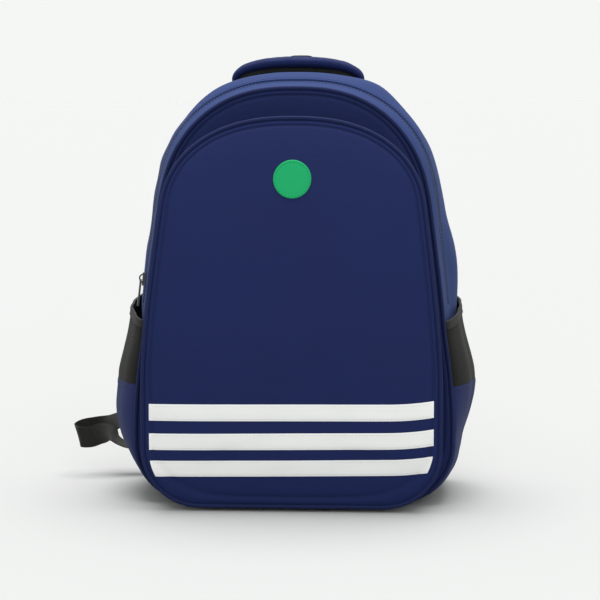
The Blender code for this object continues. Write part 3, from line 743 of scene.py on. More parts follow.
# ---- Main compartment -----------------------------------------------------------------
GUSSET_COLUMNS = [0.035, 0.06, 0.09, 0.12, 0.155, ZIP_V - ZIP_MOUTH, ZIP_V + ZIP_MOUTH, 0.28, 0.33, 0.39,
                  0.46, 0.53, 0.60, 0.67, 0.74, 0.81, 0.87, 0.92, 0.965]
MOUTH_COLUMN = 5


def gusset_grids():
    outer = [[gusset_point(side, s, v) for v in GUSSET_COLUMNS] for side, s in ROUND]
    inner = [[gusset_point(side, s, v, SHEET) for v in GUSSET_COLUMNS] for side, s in ROUND]
    return outer, inner


def above_fold(i):
    """Whether a row of the round lies above the fold."""
    side, s = ROUND[i]
    after = ROUND[(i + 1) % len(ROUND)][1]
    return min(s, after) >= S_FOLD - 1e-6


def build_gussets():
    outer, inner = gusset_grids()
    cloth = [finish("gusset cloth"), finish("lining")]
    root = cloth_mesh(outer, inner, True, lambda i, j: not above_fold(i) or j > MOUTH_COLUMN)
    piece_from("main_gusset", root, cloth, "bag",
               ("rear_gusset", "side_gusset_left", "side_gusset_right", "base_panel"))
    front = cloth_mesh(outer, inner, True, lambda i, j: above_fold(i) and j < MOUTH_COLUMN)
    piece_from("cover_gusset", front, cloth, "cover", ("front_gusset",))
    seams = {"bag": bmesh.new(), "cover": bmesh.new()}
    for body, v in (("bag", ZIP_V + ZIP_MOUTH + 0.020), ("cover", ZIP_V - ZIP_MOUTH - 0.020)):
        path = [gusset_point(side, s, v, -0.0001) for side, s in over_top()]
        sew(seams[body], path, lambda p: (p.x, 0, max(0.0, p.z - 0.25) * 2.2))
    piece_from("main_gusset_stitches", seams["bag"], finish("thread"), "bag")
    piece_from("cover_gusset_stitches", seams["cover"], finish("thread"), "cover")


def seam_profile(d, depth):
    """How far a padded panel's face lies behind its plane, by distance from its edge."""
    size = sizes()
    roll = 0.0018 * max(0.0, 1 - d / 0.0030) ** 2
    groove = size.seam_depth * math.exp(-(((d - size.seam_inset) / 0.0012) ** 2))
    crown = depth * (1 - math.exp(-max(0.0, d - size.seam_inset) / 0.018))
    return roll + groove - crown


# A plate's rings lie this far inside its outline, closest together round the stitched seam
EDGE_RINGS = (0.0, 0.0008, 0.0018, 0.0030, 0.0040, 0.0046, 0.0051, 0.0056, 0.0062, 0.0072, 0.0090, 0.0120,
              0.0160, 0.0210)
INNER_RINGS = 16
HUB_LOW, HUB_HIGH = 0.085, 0.290  # levels between which the rings close up


def seam_reach(s):
    """The seam lies further from the edge round the padded bottom corners."""
    if s >= 2.35:
        return 1.0
    corner = math.exp(-(((s - 1.45) / 0.50) ** 2))
    return 1.0 + 0.55 * min(1.0, (2.35 - s) / 0.6) + 0.95 * corner * min(1.0, (2.35 - s) / 0.3)


def ringed_plate(shape, face, thick):
    """Outer and inner grids of a plate whose rings follow its outline; face(x, z, d) is its surface."""
    outer, inner = [], []
    for side, s in ROUND:
        rows = [[], []]
        reach = seam_reach(s)
        for d in EDGE_RINGS:
            x, z = outline_point(shape, s, d * reach)
            y = face(side * x, z, d)
            rows[0].append(Vector((side * x, y, z)))
            rows[1].append(Vector((side * x, y + thick, z)))
        x, z = outline_point(shape, s, EDGE_RINGS[-1] * reach)
        hub = Vector((0, min(HUB_HIGH, max(HUB_LOW, z))))
        length = math.hypot(x, z - hub.y)
        for k in range(1, INNER_RINGS + 1):
            t = k / INNER_RINGS
            px, pz = side * x * (1 - t), z + (hub.y - z) * t
            y = face(px, pz, EDGE_RINGS[-1] + length * t)
            rows[0].append(Vector((px, y, pz)))
            rows[1].append(Vector((px, y + thick, pz)))
        outer.append(rows[0])
        inner.append(rows[1])
    return outer, inner


def panel_face(x, z, d):
    """The padded front panel: crowned, softly uneven, tighter towards its seam."""
    ease = 1 - math.exp(-d / 0.030)
    spot = Vector((x, 0.31, z))
    uneven = 0.0011 * noise.noise(spot * 8.0) + 0.0004 * noise.noise(spot * 24.0)
    belly = 0.0004 * math.exp(-(((z - 0.08) / 0.07) ** 2)) * (1 - (x / 0.15) ** 2)
    return panel_y(z) + seam_profile(d, sizes().crown) - ease * (belly - uneven)


def wall_face(x, z, d):
    spot = Vector((x, 0.87, z))
    return wall_y(z) + seam_profile(d, 0.0015) + 0.0007 * noise.noise(spot * 14.0)


def build_split_panel(names, shape, face, cloth, bodies, replaced):
    """A panel as two pieces that meet at the fold."""
    outer, inner = ringed_plate(shape, face, WALL * 0.8)
    made = []
    for name, body, nodes, upper in zip(names, bodies, replaced, (False, True)):
        bm = cloth_mesh(outer, inner, True, lambda i, j: above_fold(i) == upper, hub=True)
        made.append(piece_from(name, bm, [finish(cloth), finish("lining")], body, nodes))
    return made


def edge_path(shape, stations_along, depth, inset):
    """A line round an outline at one inset. depth(side, s) is its y."""
    made = []
    for side, s in stations_along:
        x, z = outline_point(shape, s, inset)
        made.append(Vector((side * x, depth(side, s), z)))
    return made


def seam_path(shape, stations_along, face):
    """The stitched line of a panel, in its groove."""
    inset = sizes().seam_inset
    made = []
    for side, s in stations_along:
        x, z = outline_point(shape, s, inset * seam_reach(s))
        made.append(Vector((side * x, face(side * x, z, inset), z)))
    return made


def build_piping(names, shape, depth, bodies, replaced):
    """The corded edge of a panel, in two lengths that meet at the fold."""
    radius = sizes().piping
    runs = (under_base(), over_top(S_FOLD, 18, 40))

    def behind(side, s):
        return depth(outline_point(shape, s)[1]) + 0.0020

    for name, body, node, run in zip(names, bodies, replaced, runs):
        path = edge_path(shape, run, behind, -radius * 0.85)
        bm = bmesh.new()
        tube_into(bm, path, radius, 10, wobble=0.10)
        piece_from(name, bm, finish("piping cloth"), body, (node,))


def build_front_wall():
    build_split_panel(("front_wall_low", "front_wall_top"), FRONT_EDGE, wall_face, "wall cloth",
                      ("bag", "cover"), (("front_wall_lower",), ("front_wall_upper",)))
    build_piping(("wall_piping_low", "wall_piping_top"), FRONT_EDGE, wall_y, ("bag", "cover"),
                 ("wall_piping_lower", "wall_piping_upper"))
    rows = {"bag": under_base(), "cover": over_top()}
    for body, run in rows.items():
        bm = bmesh.new()
        sew(bm, seam_path(FRONT_EDGE, run, wall_face), (0, -1, 0))
        piece_from("front_wall_stitches_" + body, bm, finish("thread"), body)


# ---- Front pocket ---------------------------------------------------------------------
def build_front_panel():
    made = build_split_panel(("front_panel_low", "front_panel_top"), PANEL_EDGE, panel_face, "panel cloth",
                             ("bag", "pocket_flap"),
                             (("front_panel_lower",), ("front_panel_upper",)))
    build_piping(("panel_piping_low", "panel_piping_top"), PANEL_EDGE, panel_y, ("bag", "pocket_flap"),
                 ("panel_piping_lower", "panel_piping_upper"))
    for body, run in (("bag", under_base()), ("pocket_flap", over_top())):
        bm = bmesh.new()
        sew(bm, seam_path(PANEL_EDGE, run, panel_face), (0, -1, 0))
        piece_from("panel_stitches_" + body, bm, finish("thread"), body)


def skin_of(name):
    """Finds the front face of a finished piece straight behind a point."""
    mesh = bpy.data.objects[name].data
    tree = BVHTree.FromPolygons([v.co for v in mesh.vertices], [p.vertices for p in mesh.polygons])

    def at(x, z):
        hit = tree.ray_cast(Vector((x, -0.3, z)), Vector((0, 1, 0)))[0]
        return hit.y if hit else panel_y(z)

    return at


def panel_half(z):
    """Half width of the front panel at level z."""
    if z >= Z_CORNER:
        return side_x(PANEL_EDGE, z)
    drop = (Z_CORNER - z) / (Z_CORNER - PANEL_EDGE[3])
    return PANEL_EDGE[0] - CORNER + CORNER * math.sqrt(max(0.0, 1 - drop**2))


def strip_curl(x):
    """The strips turn up towards their right ends."""
    return 0.0034 * max(0.0, (x - 0.095) / 0.045) ** 2 if x > 0.095 else 0.0


def strip_place(strip, row, column, inset):
    """A point of a strip: its level before the strip tilts, then its x and its z."""
    _, low, high, tilt = strip
    base = low + (high - low) * row
    x = (panel_half(base) - inset) * (2 * column - 1)
    return base, x, base + tilt * x + strip_curl(x)


def build_strips():
    at = skin_of("front_panel_low")
    rows, cols = 6, 72
    for strip in STRIPS:
        name = strip[0]

        def spot(row, column, outer):
            base, x, z = strip_place(strip, row, column, STRIP_INSET)
            lift = STRIP_THICK * (1 - 0.45 * abs(2 * row - 1) ** 6) if outer else 0.0
            ripple = 0.00012 * noise.noise(Vector((x * 40, base * 120, 2.0)))
            return Vector((x, at(x, z) - 0.00015 - lift + ripple, z))

        bm = cloth_mesh(*two_layers(rows, cols, spot))
        piece_from(name + "_tape", bm, finish("reflective tape"), "bag", (name,))
        seams = bmesh.new()
        for row in (0.7 / rows, 1 - 0.7 / rows):
            path = []
            for j in range(cols + 1):
                _, x, z = strip_place(strip, row, j / cols, STRIP_SEAM_INSET)
                path.append(Vector((x, at(x, z) - 0.0011, z)))
            sew(seams, path, (0, -1, 0))
        piece_from(name + "_stitches", seams, finish("pale thread"), "bag")


def build_patch():
    at = skin_of("front_panel_top")
    low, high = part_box("round_patch")
    radius = (high[0] - low[0]) / 2
    centre = (low[2] + high[2]) / 2
    steps, rings = 64, (1.0, 0.985, 0.95, 0.90, 0.80, 0.6, 0.4, 0.2, 0.0)
    lifts = (0.0003, 0.0009, 0.0012, 0.0010, 0.0012, 0.0012, 0.0012, 0.0012, 0.0012)

    def spot(k, share, lift):
        angle = 2 * math.pi * k / steps
        x, z = radius * share * math.cos(angle), centre + radius * share * math.sin(angle)
        return Vector((x, at(x, z) - lift, z))

    outer = [[spot(k, share, lift) for share, lift in zip(rings, lifts)] for k in range(steps)]
    inner = [[spot(k, share, 0.0001) for share in rings] for k in range(steps)]
    bm = cloth_mesh(outer, inner, True, hub=True)
    piece_from("patch", bm, [finish("patch print")] * 2, "pocket_flap", ("round_patch",))
    ring = bmesh.new()
    sew(ring, [spot(k, 0.9, 0.0011) for k in range(steps + 1)], (0, -1, 0))
    piece_from("patch_stitches", ring, finish("patch print"), "pocket_flap")


def build_pocket_gusset():
    cloth = [finish("wall cloth"), finish("lining")]
    mouth = (POCKET_ZIP - POCKET_MOUTH, POCKET_ZIP + POCKET_MOUTH)
    parts = (("pocket_gusset_low", under_base(), (0, 0.1, 0.25, 0.4, 0.55, 0.7, 0.85, 1), "bag",
              "pocket_gusset_lower"),
             ("pocket_gusset_front_edge", over_top(), (0, 0.1, 0.2, 0.3, mouth[0]), "pocket_flap",
              "pocket_gusset_front"),
             ("pocket_gusset_back_edge", over_top(), (mouth[1], 0.7, 0.8, 0.9, 1), "cover",
              "pocket_gusset_rear"))
    for name, run, shares, body, node in parts:
        outer = [[pocket_point(side, s, v) for v in shares] for side, s in run]
        inner = [[pocket_point(side, s, v, 0.0020) for v in shares] for side, s in run]
        piece_from(name, cloth_mesh(outer, inner), cloth, body, (node,))
    for body, share in (("pocket_flap", mouth[0] - 0.06), ("cover", mouth[1] + 0.06)):
        bm = bmesh.new()
        sew(bm, [pocket_point(side, s, share, -0.0001) for side, s in over_top()],
            lambda p: (p.x, 0, max(0.0, p.z - 0.25) * 2.2))
        piece_from("pocket_gusset_stitches_" + body, bm, finish("thread"), body)


# ---- Zips -------------------------------------------------------------------------------
def build_zip(name, point, middle, mouth, tape_edge, bodies, nodes):
    """Two tapes and two rows of teeth along the opening over the top."""
    run = over_top(S_FOLD, 18, 40)
    for body, node, way in zip(bodies, nodes, (-1, 1)):
        shares = [middle + way * step for step in (0.006 * mouth / 0.024, mouth * 0.5, mouth, tape_edge)]
        outer = [[point(side, s, v, 0.0012) for v in shares] for side, s in run]
        inner = [[point(side, s, v, 0.0019) for v in shares] for side, s in run]
        bm = cloth_mesh(outer, inner)
        piece_from(f"{name}_tape_{body}", bm, finish("zip tape"), body, (node,))
    centre = [point(side, s, middle, 0.0006) for side, s in run]
    ahead = [point(side, s, middle + 0.05, 0.0006) for side, s in run]
    teeth = {body: bmesh.new() for body in bodies}
    spots = evenly(centre, sizes().tooth_pitch)
    aheads = evenly(ahead, sizes().tooth_pitch * path_length(ahead) / path_length(centre))
    for number, ((spot, along), (other, _)) in enumerate(zip(spots, aheads)):
        across = (other - spot).normalized()
        out = along.cross(across).normalized()
        way = number % 2
        centre_spot = spot + across * (0.0006 if way else -0.0006)
        bead_into(teeth[bodies[way]], centre_spot, across, along, out, 0.0042, 0.0015, 0.0017)
    for body, bm in teeth.items():
        piece_from(f"{name}_teeth_{body}", bm, finish("zip teeth"), body)


def path_length(path):
    return sum((b - a).length for a, b in zip(path, path[1:]))


def build_zips():
    build_zip("main_zip", body_point, ZIP_V, ZIP_MOUTH, 0.036, ("cover", "bag"),
              ("main_zip_front", "main_zip_rear"))
    build_zip("pocket_zip", pocket_point, POCKET_ZIP, POCKET_MOUTH, 0.15, ("pocket_flap", "cover"),
              ("pocket_zip_front", "pocket_zip_rear"))


def soften(node, width, segments=2):
    """Rounds a carried-over part's edges for the eye, without touching its mesh."""
    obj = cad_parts[node]
    bevel = obj.modifiers.new("rounded edges", "BEVEL")
    bevel.width = width
    bevel.segments = segments
    bevel.limit_method = "ANGLE"
    return obj


def refinish(node, name):
    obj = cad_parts[node]
    if not obj.material_slots:
        obj.data.materials.append(finish(name))
    for slot in obj.material_slots:
        slot.material = finish(name)


# The wire over a slider that holds its pull: how far it stands out, and its level from the middle
SLIDER_BRIDGE = ((0.0010, -0.0045), (0.0036, -0.002), (0.0040, 0.002), (0.0010, 0.005))


def build_sliders():
    for node in ("main_slider", "pocket_slider"):
        soften(node, 0.0010, 3)
        refinish(node, "slider metal")
    for node in ("main_pull", "pocket_pull"):
        soften(node, 0.0005, 2)
        refinish(node, "slider metal")
    for prefix, body in (("main", "main_zip_slider"), ("pocket", "pocket_zip_slider")):
        low, high = [Vector(c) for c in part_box(prefix + "_slider")]
        middle = (low + high) / 2
        out = Vector((-1, 0, 0.1)).normalized()
        path = smooth_path([middle + out * stand + Vector((0, 0, up)) for stand, up in SLIDER_BRIDGE], 6)
        bm = bmesh.new()
        tube_into(bm, path, 0.0008, 8)
        piece_from(prefix + "_slider_bridge", bm, finish("slider metal"), body)


# ---- Side pockets -----------------------------------------------------------------------
def side_stand(side, z, v):
    """How far a side pocket stands off the body: the left one is fuller low down."""
    low, crest, power, full = (0.030, 0.095, 1.2, 0.0200) if side < 0 else (0.056, 0.118, 1.6, 0.0168)
    rest = 0.0023
    if z < crest:
        share = max(0.0, (z - low) / (crest - low))
        stand = rest + (full - rest) * math.sin(math.pi / 2 * share) ** power
    else:
        share = min(1.0, (z - crest) / (0.190 - crest))
        stand = full - 0.0070 * math.sin(math.pi / 2 * share) ** 2
    edge = max(0.0, math.sin(math.pi * (v - 0.035) / 0.930)) ** 0.6
    return rest + (stand - rest) * edge


def side_skin(side, s, v, under=0.0, proud=0.0):
    z = outline_point(body_shape(v), s)[1]
    spot = body_point(side, s, v)
    edge = max(0.0, math.sin(math.pi * (v - 0.035) / 0.930))
    upright = 0.0028 * noise.noise(Vector((side * 3.1, v * 6.5, z * 6.0)))
    fold = creases(spot + Vector((0.2, 0, 0)), 0.0022)
    dent = 0.0034 * math.exp(-(((v - 0.42 + 0.6 * (z - 0.07)) / 0.035) ** 2))
    dent *= min(1.0, max(0.0, (0.125 - z) / 0.04))
    lift = side_stand(side, z, v) + (upright + fold - dent) * edge + proud
    return body_point(side, s, v, out=max(0.0014, lift) - under)


def build_side_pockets():
    shares = [0.035 + 0.93 * (1 - math.cos(math.pi * i / 26)) / 2 for i in range(27)]
    seam = station_of(SEAM_Z)
    band = 0.032  # the elastic rim's height, as a share of the upright side

    def rim(v):
        return station_of(RIM_FRONT + (RIM_REAR - RIM_FRONT) * v)

    for side, word in ((-1, "left"), (1, "right")):
        low = stations(((1.32, 2, 12), (2, seam, 10)))
        pieces = (("side_pocket_cloth_", lambda v: low,
                   "side cloth", "side_fabric", "side_pocket_base_", 0.0),
                  ("side_pocket_net_", lambda v: [seam + (rim(v) - band - seam) * i / 14 for i in range(15)],
                   "side mesh", "mesh", "side_pocket_mesh_", -0.0004),
                  ("side_pocket_band_", lambda v: [rim(v) - band + band * i / 4 for i in range(5)],
                   "webbing", "webbing", "side_pocket_elastic_", 0.0005))
        for prefix, rows, cloth, slot, node, proud in pieces:
            outer = [[side_skin(side, s, v, 0.0, proud) for s in rows(v)] for v in shares]
            inner = [[side_skin(side, s, v, 0.0014 + 2 * proud, proud) for s in rows(v)] for v in shares]
            bm = cloth_mesh(outer, inner)
            piece_from(prefix + word, bm, finish(cloth), "bag", (node + word,))
        bm = bmesh.new()
        for level in (seam - 0.010, seam - 0.018):
            sew(bm, [side_skin(side, level, v, 0.0, 0.0001) for v in shares], (side, 0, 0))
        piece_from("side_pocket_seam_stitches_" + word, bm, finish("thread"), "bag")
        bm = bmesh.new()
        for back in (band - 0.004, 0.005):
            sew(bm, [side_skin(side, rim(v) - back, v, 0.0, 0.0006) for v in shares], (side, 0, 0))
        piece_from("side_pocket_band_stitches_" + word, bm, finish("black thread"), "bag")


# ---- Handle and hang loop ---------------------------------------------------------------
def build_handle():
    low, high = [Vector(c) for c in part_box("handle_grip")]
    reach, y, steps = HANDLE_REACH, (low.y + high.y) / 2, 44
    foot = body_top(reach, y) + 0.0026

    def swell(f):
        return max(0.0, math.sin(math.pi * f)) ** 0.6

    def thick(f):
        return 0.0046 + 0.0070 * swell(f)

    rise = high.z + 0.0012 - foot - thick(0.5) / 2
    path, outs = [], []
    for i in range(steps + 1):
        angle = math.pi * i / steps
        c, s = math.cos(angle), math.sin(angle)
        x = HANDLE_SHIFT - reach * math.copysign(abs(c) ** 0.86, c)
        path.append(Vector((x, y, foot + rise * max(0.0, s) ** 0.80)))
    for i in range(steps + 1):
        along = path[min(i + 1, steps)] - path[max(i - 1, 0)]
        outs.append(Vector((-along.z, 0, along.x)).normalized())
    bm = bmesh.new()
    rings = []
    for i, (point, out) in enumerate(zip(path, outs)):
        share = i / steps
        half, depth = 0.0052 + 0.0090 * swell(share), thick(share) / 2
        ring = []
        for k in range(24):
            angle = 2 * math.pi * k / 24
            c, s = math.cos(angle), math.sin(angle)
            across = math.copysign(abs(c) ** 0.75, c) * half
            up = math.copysign(abs(s) ** 0.85, s) * depth
            wrinkle = 1 + 0.10 * noise.noise(Vector((point.x * 120, across * 50, s)))
            groove = 1 - 0.22 * math.exp(-(((abs(across) - half * 0.80) / 0.0008) ** 2)) * (s > 0)
            ring.append(bm.verts.new(point + Vector((0, across, 0)) + out * up * wrinkle * groove))
        rings.append(ring)
    for a, b in zip(rings, rings[1:]):
        for k in range(24):
            m = (k + 1) % 24
            bm.faces.new((a[k], a[m], b[m], b[k]))
    bm.faces.new(rings[0])
    bm.faces.new(rings[-1])
    seat_on_tabs(bm)
    grip = piece_from("haul_handle_grip", bm, finish("strap cloth"), "handle",
                      ("handle_grip",))
    inner = [p - out * (thick(i / steps) / 2 + 0.0022) for i, (p, out) in enumerate(zip(path, outs))]
    under = cloth_mesh(*ribbon_grids(inner[1:-1], lambda f: (0, 1, 0), lambda f: 0.009 + 0.005 * swell(f),
                                     0.0050, 6))
    seat_on_tabs(under)
    piece_from("haul_handle_lining", under, finish("webbing"), "handle", ("handle_underside",))
    seams = bmesh.new()
    for way in (-1, 1):
        line = [p + Vector((0, way * (0.0042 + 0.0071 * swell(i / steps)), 0))
                + out * (thick(i / steps) / 2 * 0.70) for i, (p, out) in enumerate(zip(path, outs))]
        sew(seams, line[3:-3], (0, 0, 1), 0.0003)
    piece_from("haul_handle_stitches", seams, finish("thread"), "handle")
    for word in ("left", "right"):
        build_handle_tab(word)


def seat_on_tabs(bm):
    """Keeps the ends of the handle just above their tabs and the bag's top."""
    for vert in bm.verts:
        vert.co.z = max(vert.co.z, body_top(abs(vert.co.x), vert.co.y) + HANDLE_SEAT)


def build_handle_tab(word):
    """Webbing tab under one end of the handle."""
    low, high = [Vector(c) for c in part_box("handle_tab_" + word)]
    side = -1 if word == "left" else 1
    inner_x, outer_x = (high.x, low.x) if side < 0 else (low.x, high.x)

    def spot(row, column, outer):
        x = inner_x + (outer_x - inner_x) * row
        y = low.y + (high.y - low.y) * column
        worn = 0.0008 * (abs(2 * column - 1) ** 6 + abs(2 * row - 1) ** 6)
        return Vector((x, y, body_top(abs(x), y) + (TAB_THICK - worn if outer else CLOTH_GAP)))

    bm = cloth_mesh(*two_layers(8, 10, spot))
    piece_from("haul_handle_tab_" + word, bm, finish("webbing"), "bag", ("handle_tab_" + word,))


def body_top(x, y):
    """Level of the gusset's top at a point."""
    level = 0.41
    v = (y - wall_y(level)) / (back_y(level) - wall_y(level))
    width, taper, top, _, power = body_shape(v)
    z = top
    for _ in range(8):
        reach = side_x((width, taper), z)
        z = Z_SHOULDER + (top - Z_SHOULDER) * (1 - (x / reach) ** power) ** (1 / power)
    return z


def build_hang_loop():
    low, high = [Vector(c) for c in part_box("hang_loop")]
    y = (low.y + high.y) / 2
    path = []
    for i in range(41):
        angle = math.pi * i / 40
        c, s = math.cos(angle), math.sin(angle)
        path.append(Vector((-0.018 * math.copysign(abs(c) ** 0.42, c), y,
                            low.z + (high.z - 0.0008 - low.z) * max(0.0, s) ** 0.48)))
    bm = cloth_mesh(*ribbon_grids(path, lambda f: (0, 1, 0), 0.0095, 0.0015, 4))
    piece_from("hang_loop_webbing", bm, finish("webbing"), "loop", ("hang_loop",))


# ---- Back and shoulder straps -------------------------------------------------------------
def build_back():
    def face(x, z, d):
        spot = Vector((x, 1.7, z))
        return back_y(z) - seam_profile(d, 0.0010) + 0.0006 * noise.noise(spot * 12.0)

    outer, inner = ringed_plate(REAR_EDGE, face, -WALL * 0.8)
    bm = cloth_mesh(outer, inner, True, hub=True)
    piece_from("back_cloth", bm, [finish("pad mesh"), finish("lining")], "bag",
               ("back_panel",))
    radius = sizes().piping
    bm = bmesh.new()
    path = edge_path(REAR_EDGE, over_top(2.0, 30, 40),
                     lambda side, s: back_y(outline_point(REAR_EDGE, s)[1]) - 0.002, -radius * 0.85)
    tube_into(bm, path, radius, 10, wobble=0.10)
    piece_from("rear_edge_piping", bm, finish("piping cloth"), "bag", ("rear_piping",))
    for word in ("left", "right", "low"):
        build_back_pad("back_pad_" + word)
    build_yoke()


def rounded_pad(low, high, depth, corner):
    """A flat rounded pad standing on the back, before it swells."""
    grids = ([], [])
    steps = 10
    middle = (low + high) / 2
    half = (high - low) / 2
    loop = []
    for quarter, (cx, cz) in enumerate(((1, 1), (-1, 1), (-1, -1), (1, -1))):
        for i in range(steps + 1):
            angle = math.pi / 2 * (quarter + i / steps)
            loop.append((cx * (half.x - corner) + corner * math.cos(angle),
                         cz * (half.z - corner) + corner * math.sin(angle)))
    for x, z in loop:
        rows = [[], []]
        for share in (1.0, 0.97, 0.93, 0.86, 0.7, 0.45, 0.2, 0.0):
            px, pz = middle.x + x * share, middle.z + z * share
            rise = 0.0042 + (depth - 0.0052) * (1 - share**4)
            rows[0].append(Vector((px, back_y(pz) + rise, pz)))
            rows[1].append(Vector((px, back_y(pz) + 0.0002, pz)))
        grids[0].append(rows[0])
        grids[1].append(rows[1])
    return loop, middle, cloth_mesh(grids[0], grids[1], True, hub=True)


def shape_pad(obj, loop, middle):
    """Draws the swollen pad out to its bound rim and keeps it on the back."""
    turns = [math.atan2(z, x) for x, z in loop]
    places = []
    for vert in obj.data.vertices:
        x, z = vert.co.x - middle.x, vert.co.z - middle.z
        turn = math.atan2(z, x)
        k = min(range(len(loop)), key=lambda n: abs(math.remainder(turns[n] - turn, math.tau)))
        m = (k + 1) % len(loop) if math.remainder(turn - turns[k], math.tau) > 0 else k - 1
        # how far out the rim lies on the line from the middle through this point
        ax, az, bx, bz = *loop[k], *loop[m]
        cross = x * (bz - az) - z * (bx - ax)
        rim = (ax * (bz - az) - az * (bx - ax)) / cross if abs(cross) > 1e-12 else 1e9
        places.append((round(turn * 24), 1 / rim if rim > 0 else 0.0))
    reach = {}
    for spot, share in places:
        reach[spot] = max(reach.get(spot, 0.0), share)
    for vert, (spot, share) in zip(obj.data.vertices, places):
        if share > 0.02:
            grown = drawn_out(share, reach[spot], 1.0, 0.80) / share
            vert.co.x = middle.x + (vert.co.x - middle.x) * grown
            vert.co.z = middle.z + (vert.co.z - middle.z) * grown
            share *= grown
        floor = back_y(vert.co.z) + 0.0002
        roof = floor + 0.0020 + 0.0110 * max(0.0, 1 - share**6) ** 0.5
        vert.co.y = min(max(vert.co.y, floor), roof)


def build_back_pad(node):
    low, high = [Vector(c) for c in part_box(node)]
    inset = 0.003
    low += Vector((inset, 0, inset))
    high -= Vector((inset, 0, inset))
    loop, middle, bm = rounded_pad(low, high, 0.0095, 0.022)
    obj = piece_from(node + "_cushion", bm, finish("pad mesh"), "", (node,))
    fill_pad(obj, sizes().pad_cap)
    shape_pad(obj, loop, middle)
    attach(obj, "bag")
    binding = bmesh.new()
    path = [Vector((middle.x + x * 1.012, back_y(middle.z + z) + 0.0016, middle.z + z * 1.012))
            for x, z in loop]
    tube_into(binding, path + path[:2], 0.0026, 10)
    piece_from(node + "_binding", binding, finish("webbing"), "bag")


def arch_half(shape, z):
    """Half width of an outline in its arched top, at level z."""
    share = min(1.0, max(0.0, (z - Z_SHOULDER) / (shape[2] - Z_SHOULDER)))
    return side_x(shape, z) * (1 - share ** shape[4]) ** (1 / shape[4])


def build_yoke():
    low, high = [Vector(c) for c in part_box("strap_yoke")]

    def spot(row, column, outer):
        z = low.z + (high.z - low.z) * row
        trim = min(1.0, (arch_half(REAR_EDGE, z) - 0.007) / high.x)
        edge = (1 - abs(2 * row - 1) ** 8) * (1 - abs(2 * column - 1) ** 10)
        rise = 0.0008 + PATCH_RISE * edge if outer else 0.0001
        return Vector((high.x * trim * (2 * column - 1), back_y(z) + rise, z))

    bm = cloth_mesh(*two_layers(10, 24, spot))
    piece_from("strap_yoke_cloth", bm, finish("strap cloth"), "bag", ("strap_yoke",))
    seams = bmesh.new()
    for inset in (0.004, 0.007):
        bottom = low.z + inset
        wide = high.x - inset
        corners = [(-wide, bottom + 0.016), (-wide, bottom), (wide, bottom), (wide, bottom + 0.016)]
        sew(seams, [Vector((x, back_y(z) + 0.0029, z)) for x, z in corners], (0, 1, 0))
    piece_from("strap_yoke_stitches", seams, finish("thread"), "bag")


def strap_width(f):
    """Width of a shoulder strap, from its top (0) to its rounded lower end (1)."""
    return (0.064 - 0.010 * f) * (1 - 0.22 * max(0.0, (f - 0.90) / 0.10) ** 2)


def strap_thickness(f):
    return 0.0082 * min(1.0, 0.40 + 5 * f, 0.40 + 5 * (1 - f))


def build_straps():
    for side, word in ((-1, "left"), (1, "right")):
        body = "strap_" + word
        line = smooth_path([(side * x, y, z) for x, y, z in STRAP_LINE], 10)[6:]
        bm = cloth_mesh(*ribbon_grids(line, lambda f: (1, 0, 0), lambda f: strap_width(f) - 0.0030,
                                      strap_thickness, 10, 0.30))
        obj = piece_from(f"shoulder_strap_{word}", bm, [finish("strap cloth"), finish("pad mesh")], "",
                         ("strap_pad_" + word,))
        fill_pad(obj, sizes().strap_cap)
        shape_strap(obj, line)
        face_strap_inside(obj, line)
        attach(obj, body)
        build_strap_trim(word, body, line)
        refinish("strap_buckle_" + word, "buckle plastic")
        soften("strap_buckle_" + word, 0.0007, 2)


def strap_frames(line):
    """Along, across and away from the wearer at each point of a strap's centre line."""
    made = []
    count = len(line) - 1
    for i in range(count + 1):
        along = (line[min(i + 1, count)] - line[max(i - 1, 0)]).normalized()
        across = (Vector((1, 0, 0)) - along.x * along).normalized()
        away = across.cross(along)
        made.append((along, across, away if away.y > 0 else -away))
    return made


def drawn_out(value, reach, edge, start):
    """Spreads what lies past `start` so that `reach` meets the edge."""
    if value <= start or reach <= start:
        return value
    value = start + min(1.0, (value - start) / (reach - start)) * (edge - start)
    return edge if value > edge - 0.15 * (edge - start) else value


def shape_strap(obj, line):
    """Draws the swollen pad out to the bound edges of the strap."""
    frames = strap_frames(line)
    nearest = [min(range(len(line)), key=lambda k: (line[k] - vert.co).length_squared)
               for vert in obj.data.vertices]
    reach = {}
    for vert, i in zip(obj.data.vertices, nearest):
        sideways = (vert.co - line[i]).dot(frames[i][1])
        spot = (i, sideways > 0)
        reach[spot] = max(reach.get(spot, 0.0), abs(sideways))
    for vert, i in zip(obj.data.vertices, nearest):
        along, across, away = frames[i]
        offset = vert.co - line[i]
        half = strap_width(i / (len(line) - 1)) / 2 - 0.0020
        sideways, out, on = offset.dot(across), offset.dot(away), offset.dot(along)
        far = reach[(i, sideways > 0)]
        sideways = math.copysign(drawn_out(abs(sideways), far, half, half * 0.72), sideways)
        room = 0.0008 + 0.0038 * max(0.0, 1 - (abs(sideways) / half) ** 4)
        out = max(-room, min(room, out))
        if i in (0, len(line) - 1):
            on = max(-0.0010, min(0.0010, on))
        vert.co = line[i] + across * sideways + away * out + along * on


def face_strap_inside(obj, line):
    """Gives the side of the strap that faces the wearer its mesh."""
    frames = frame_along(line, Vector((1, 0, 0)))
    for face in obj.data.polygons:
        nearest = min(range(0, len(line), 3), key=lambda i: (line[i] - face.center).length_squared)
        along = frames[nearest][0]
        away = Vector((1, 0, 0)).cross(along)
        away = away if away.y > 0 else -away
        face.material_index = 0 if face.normal.dot(away) > -0.35 else 1


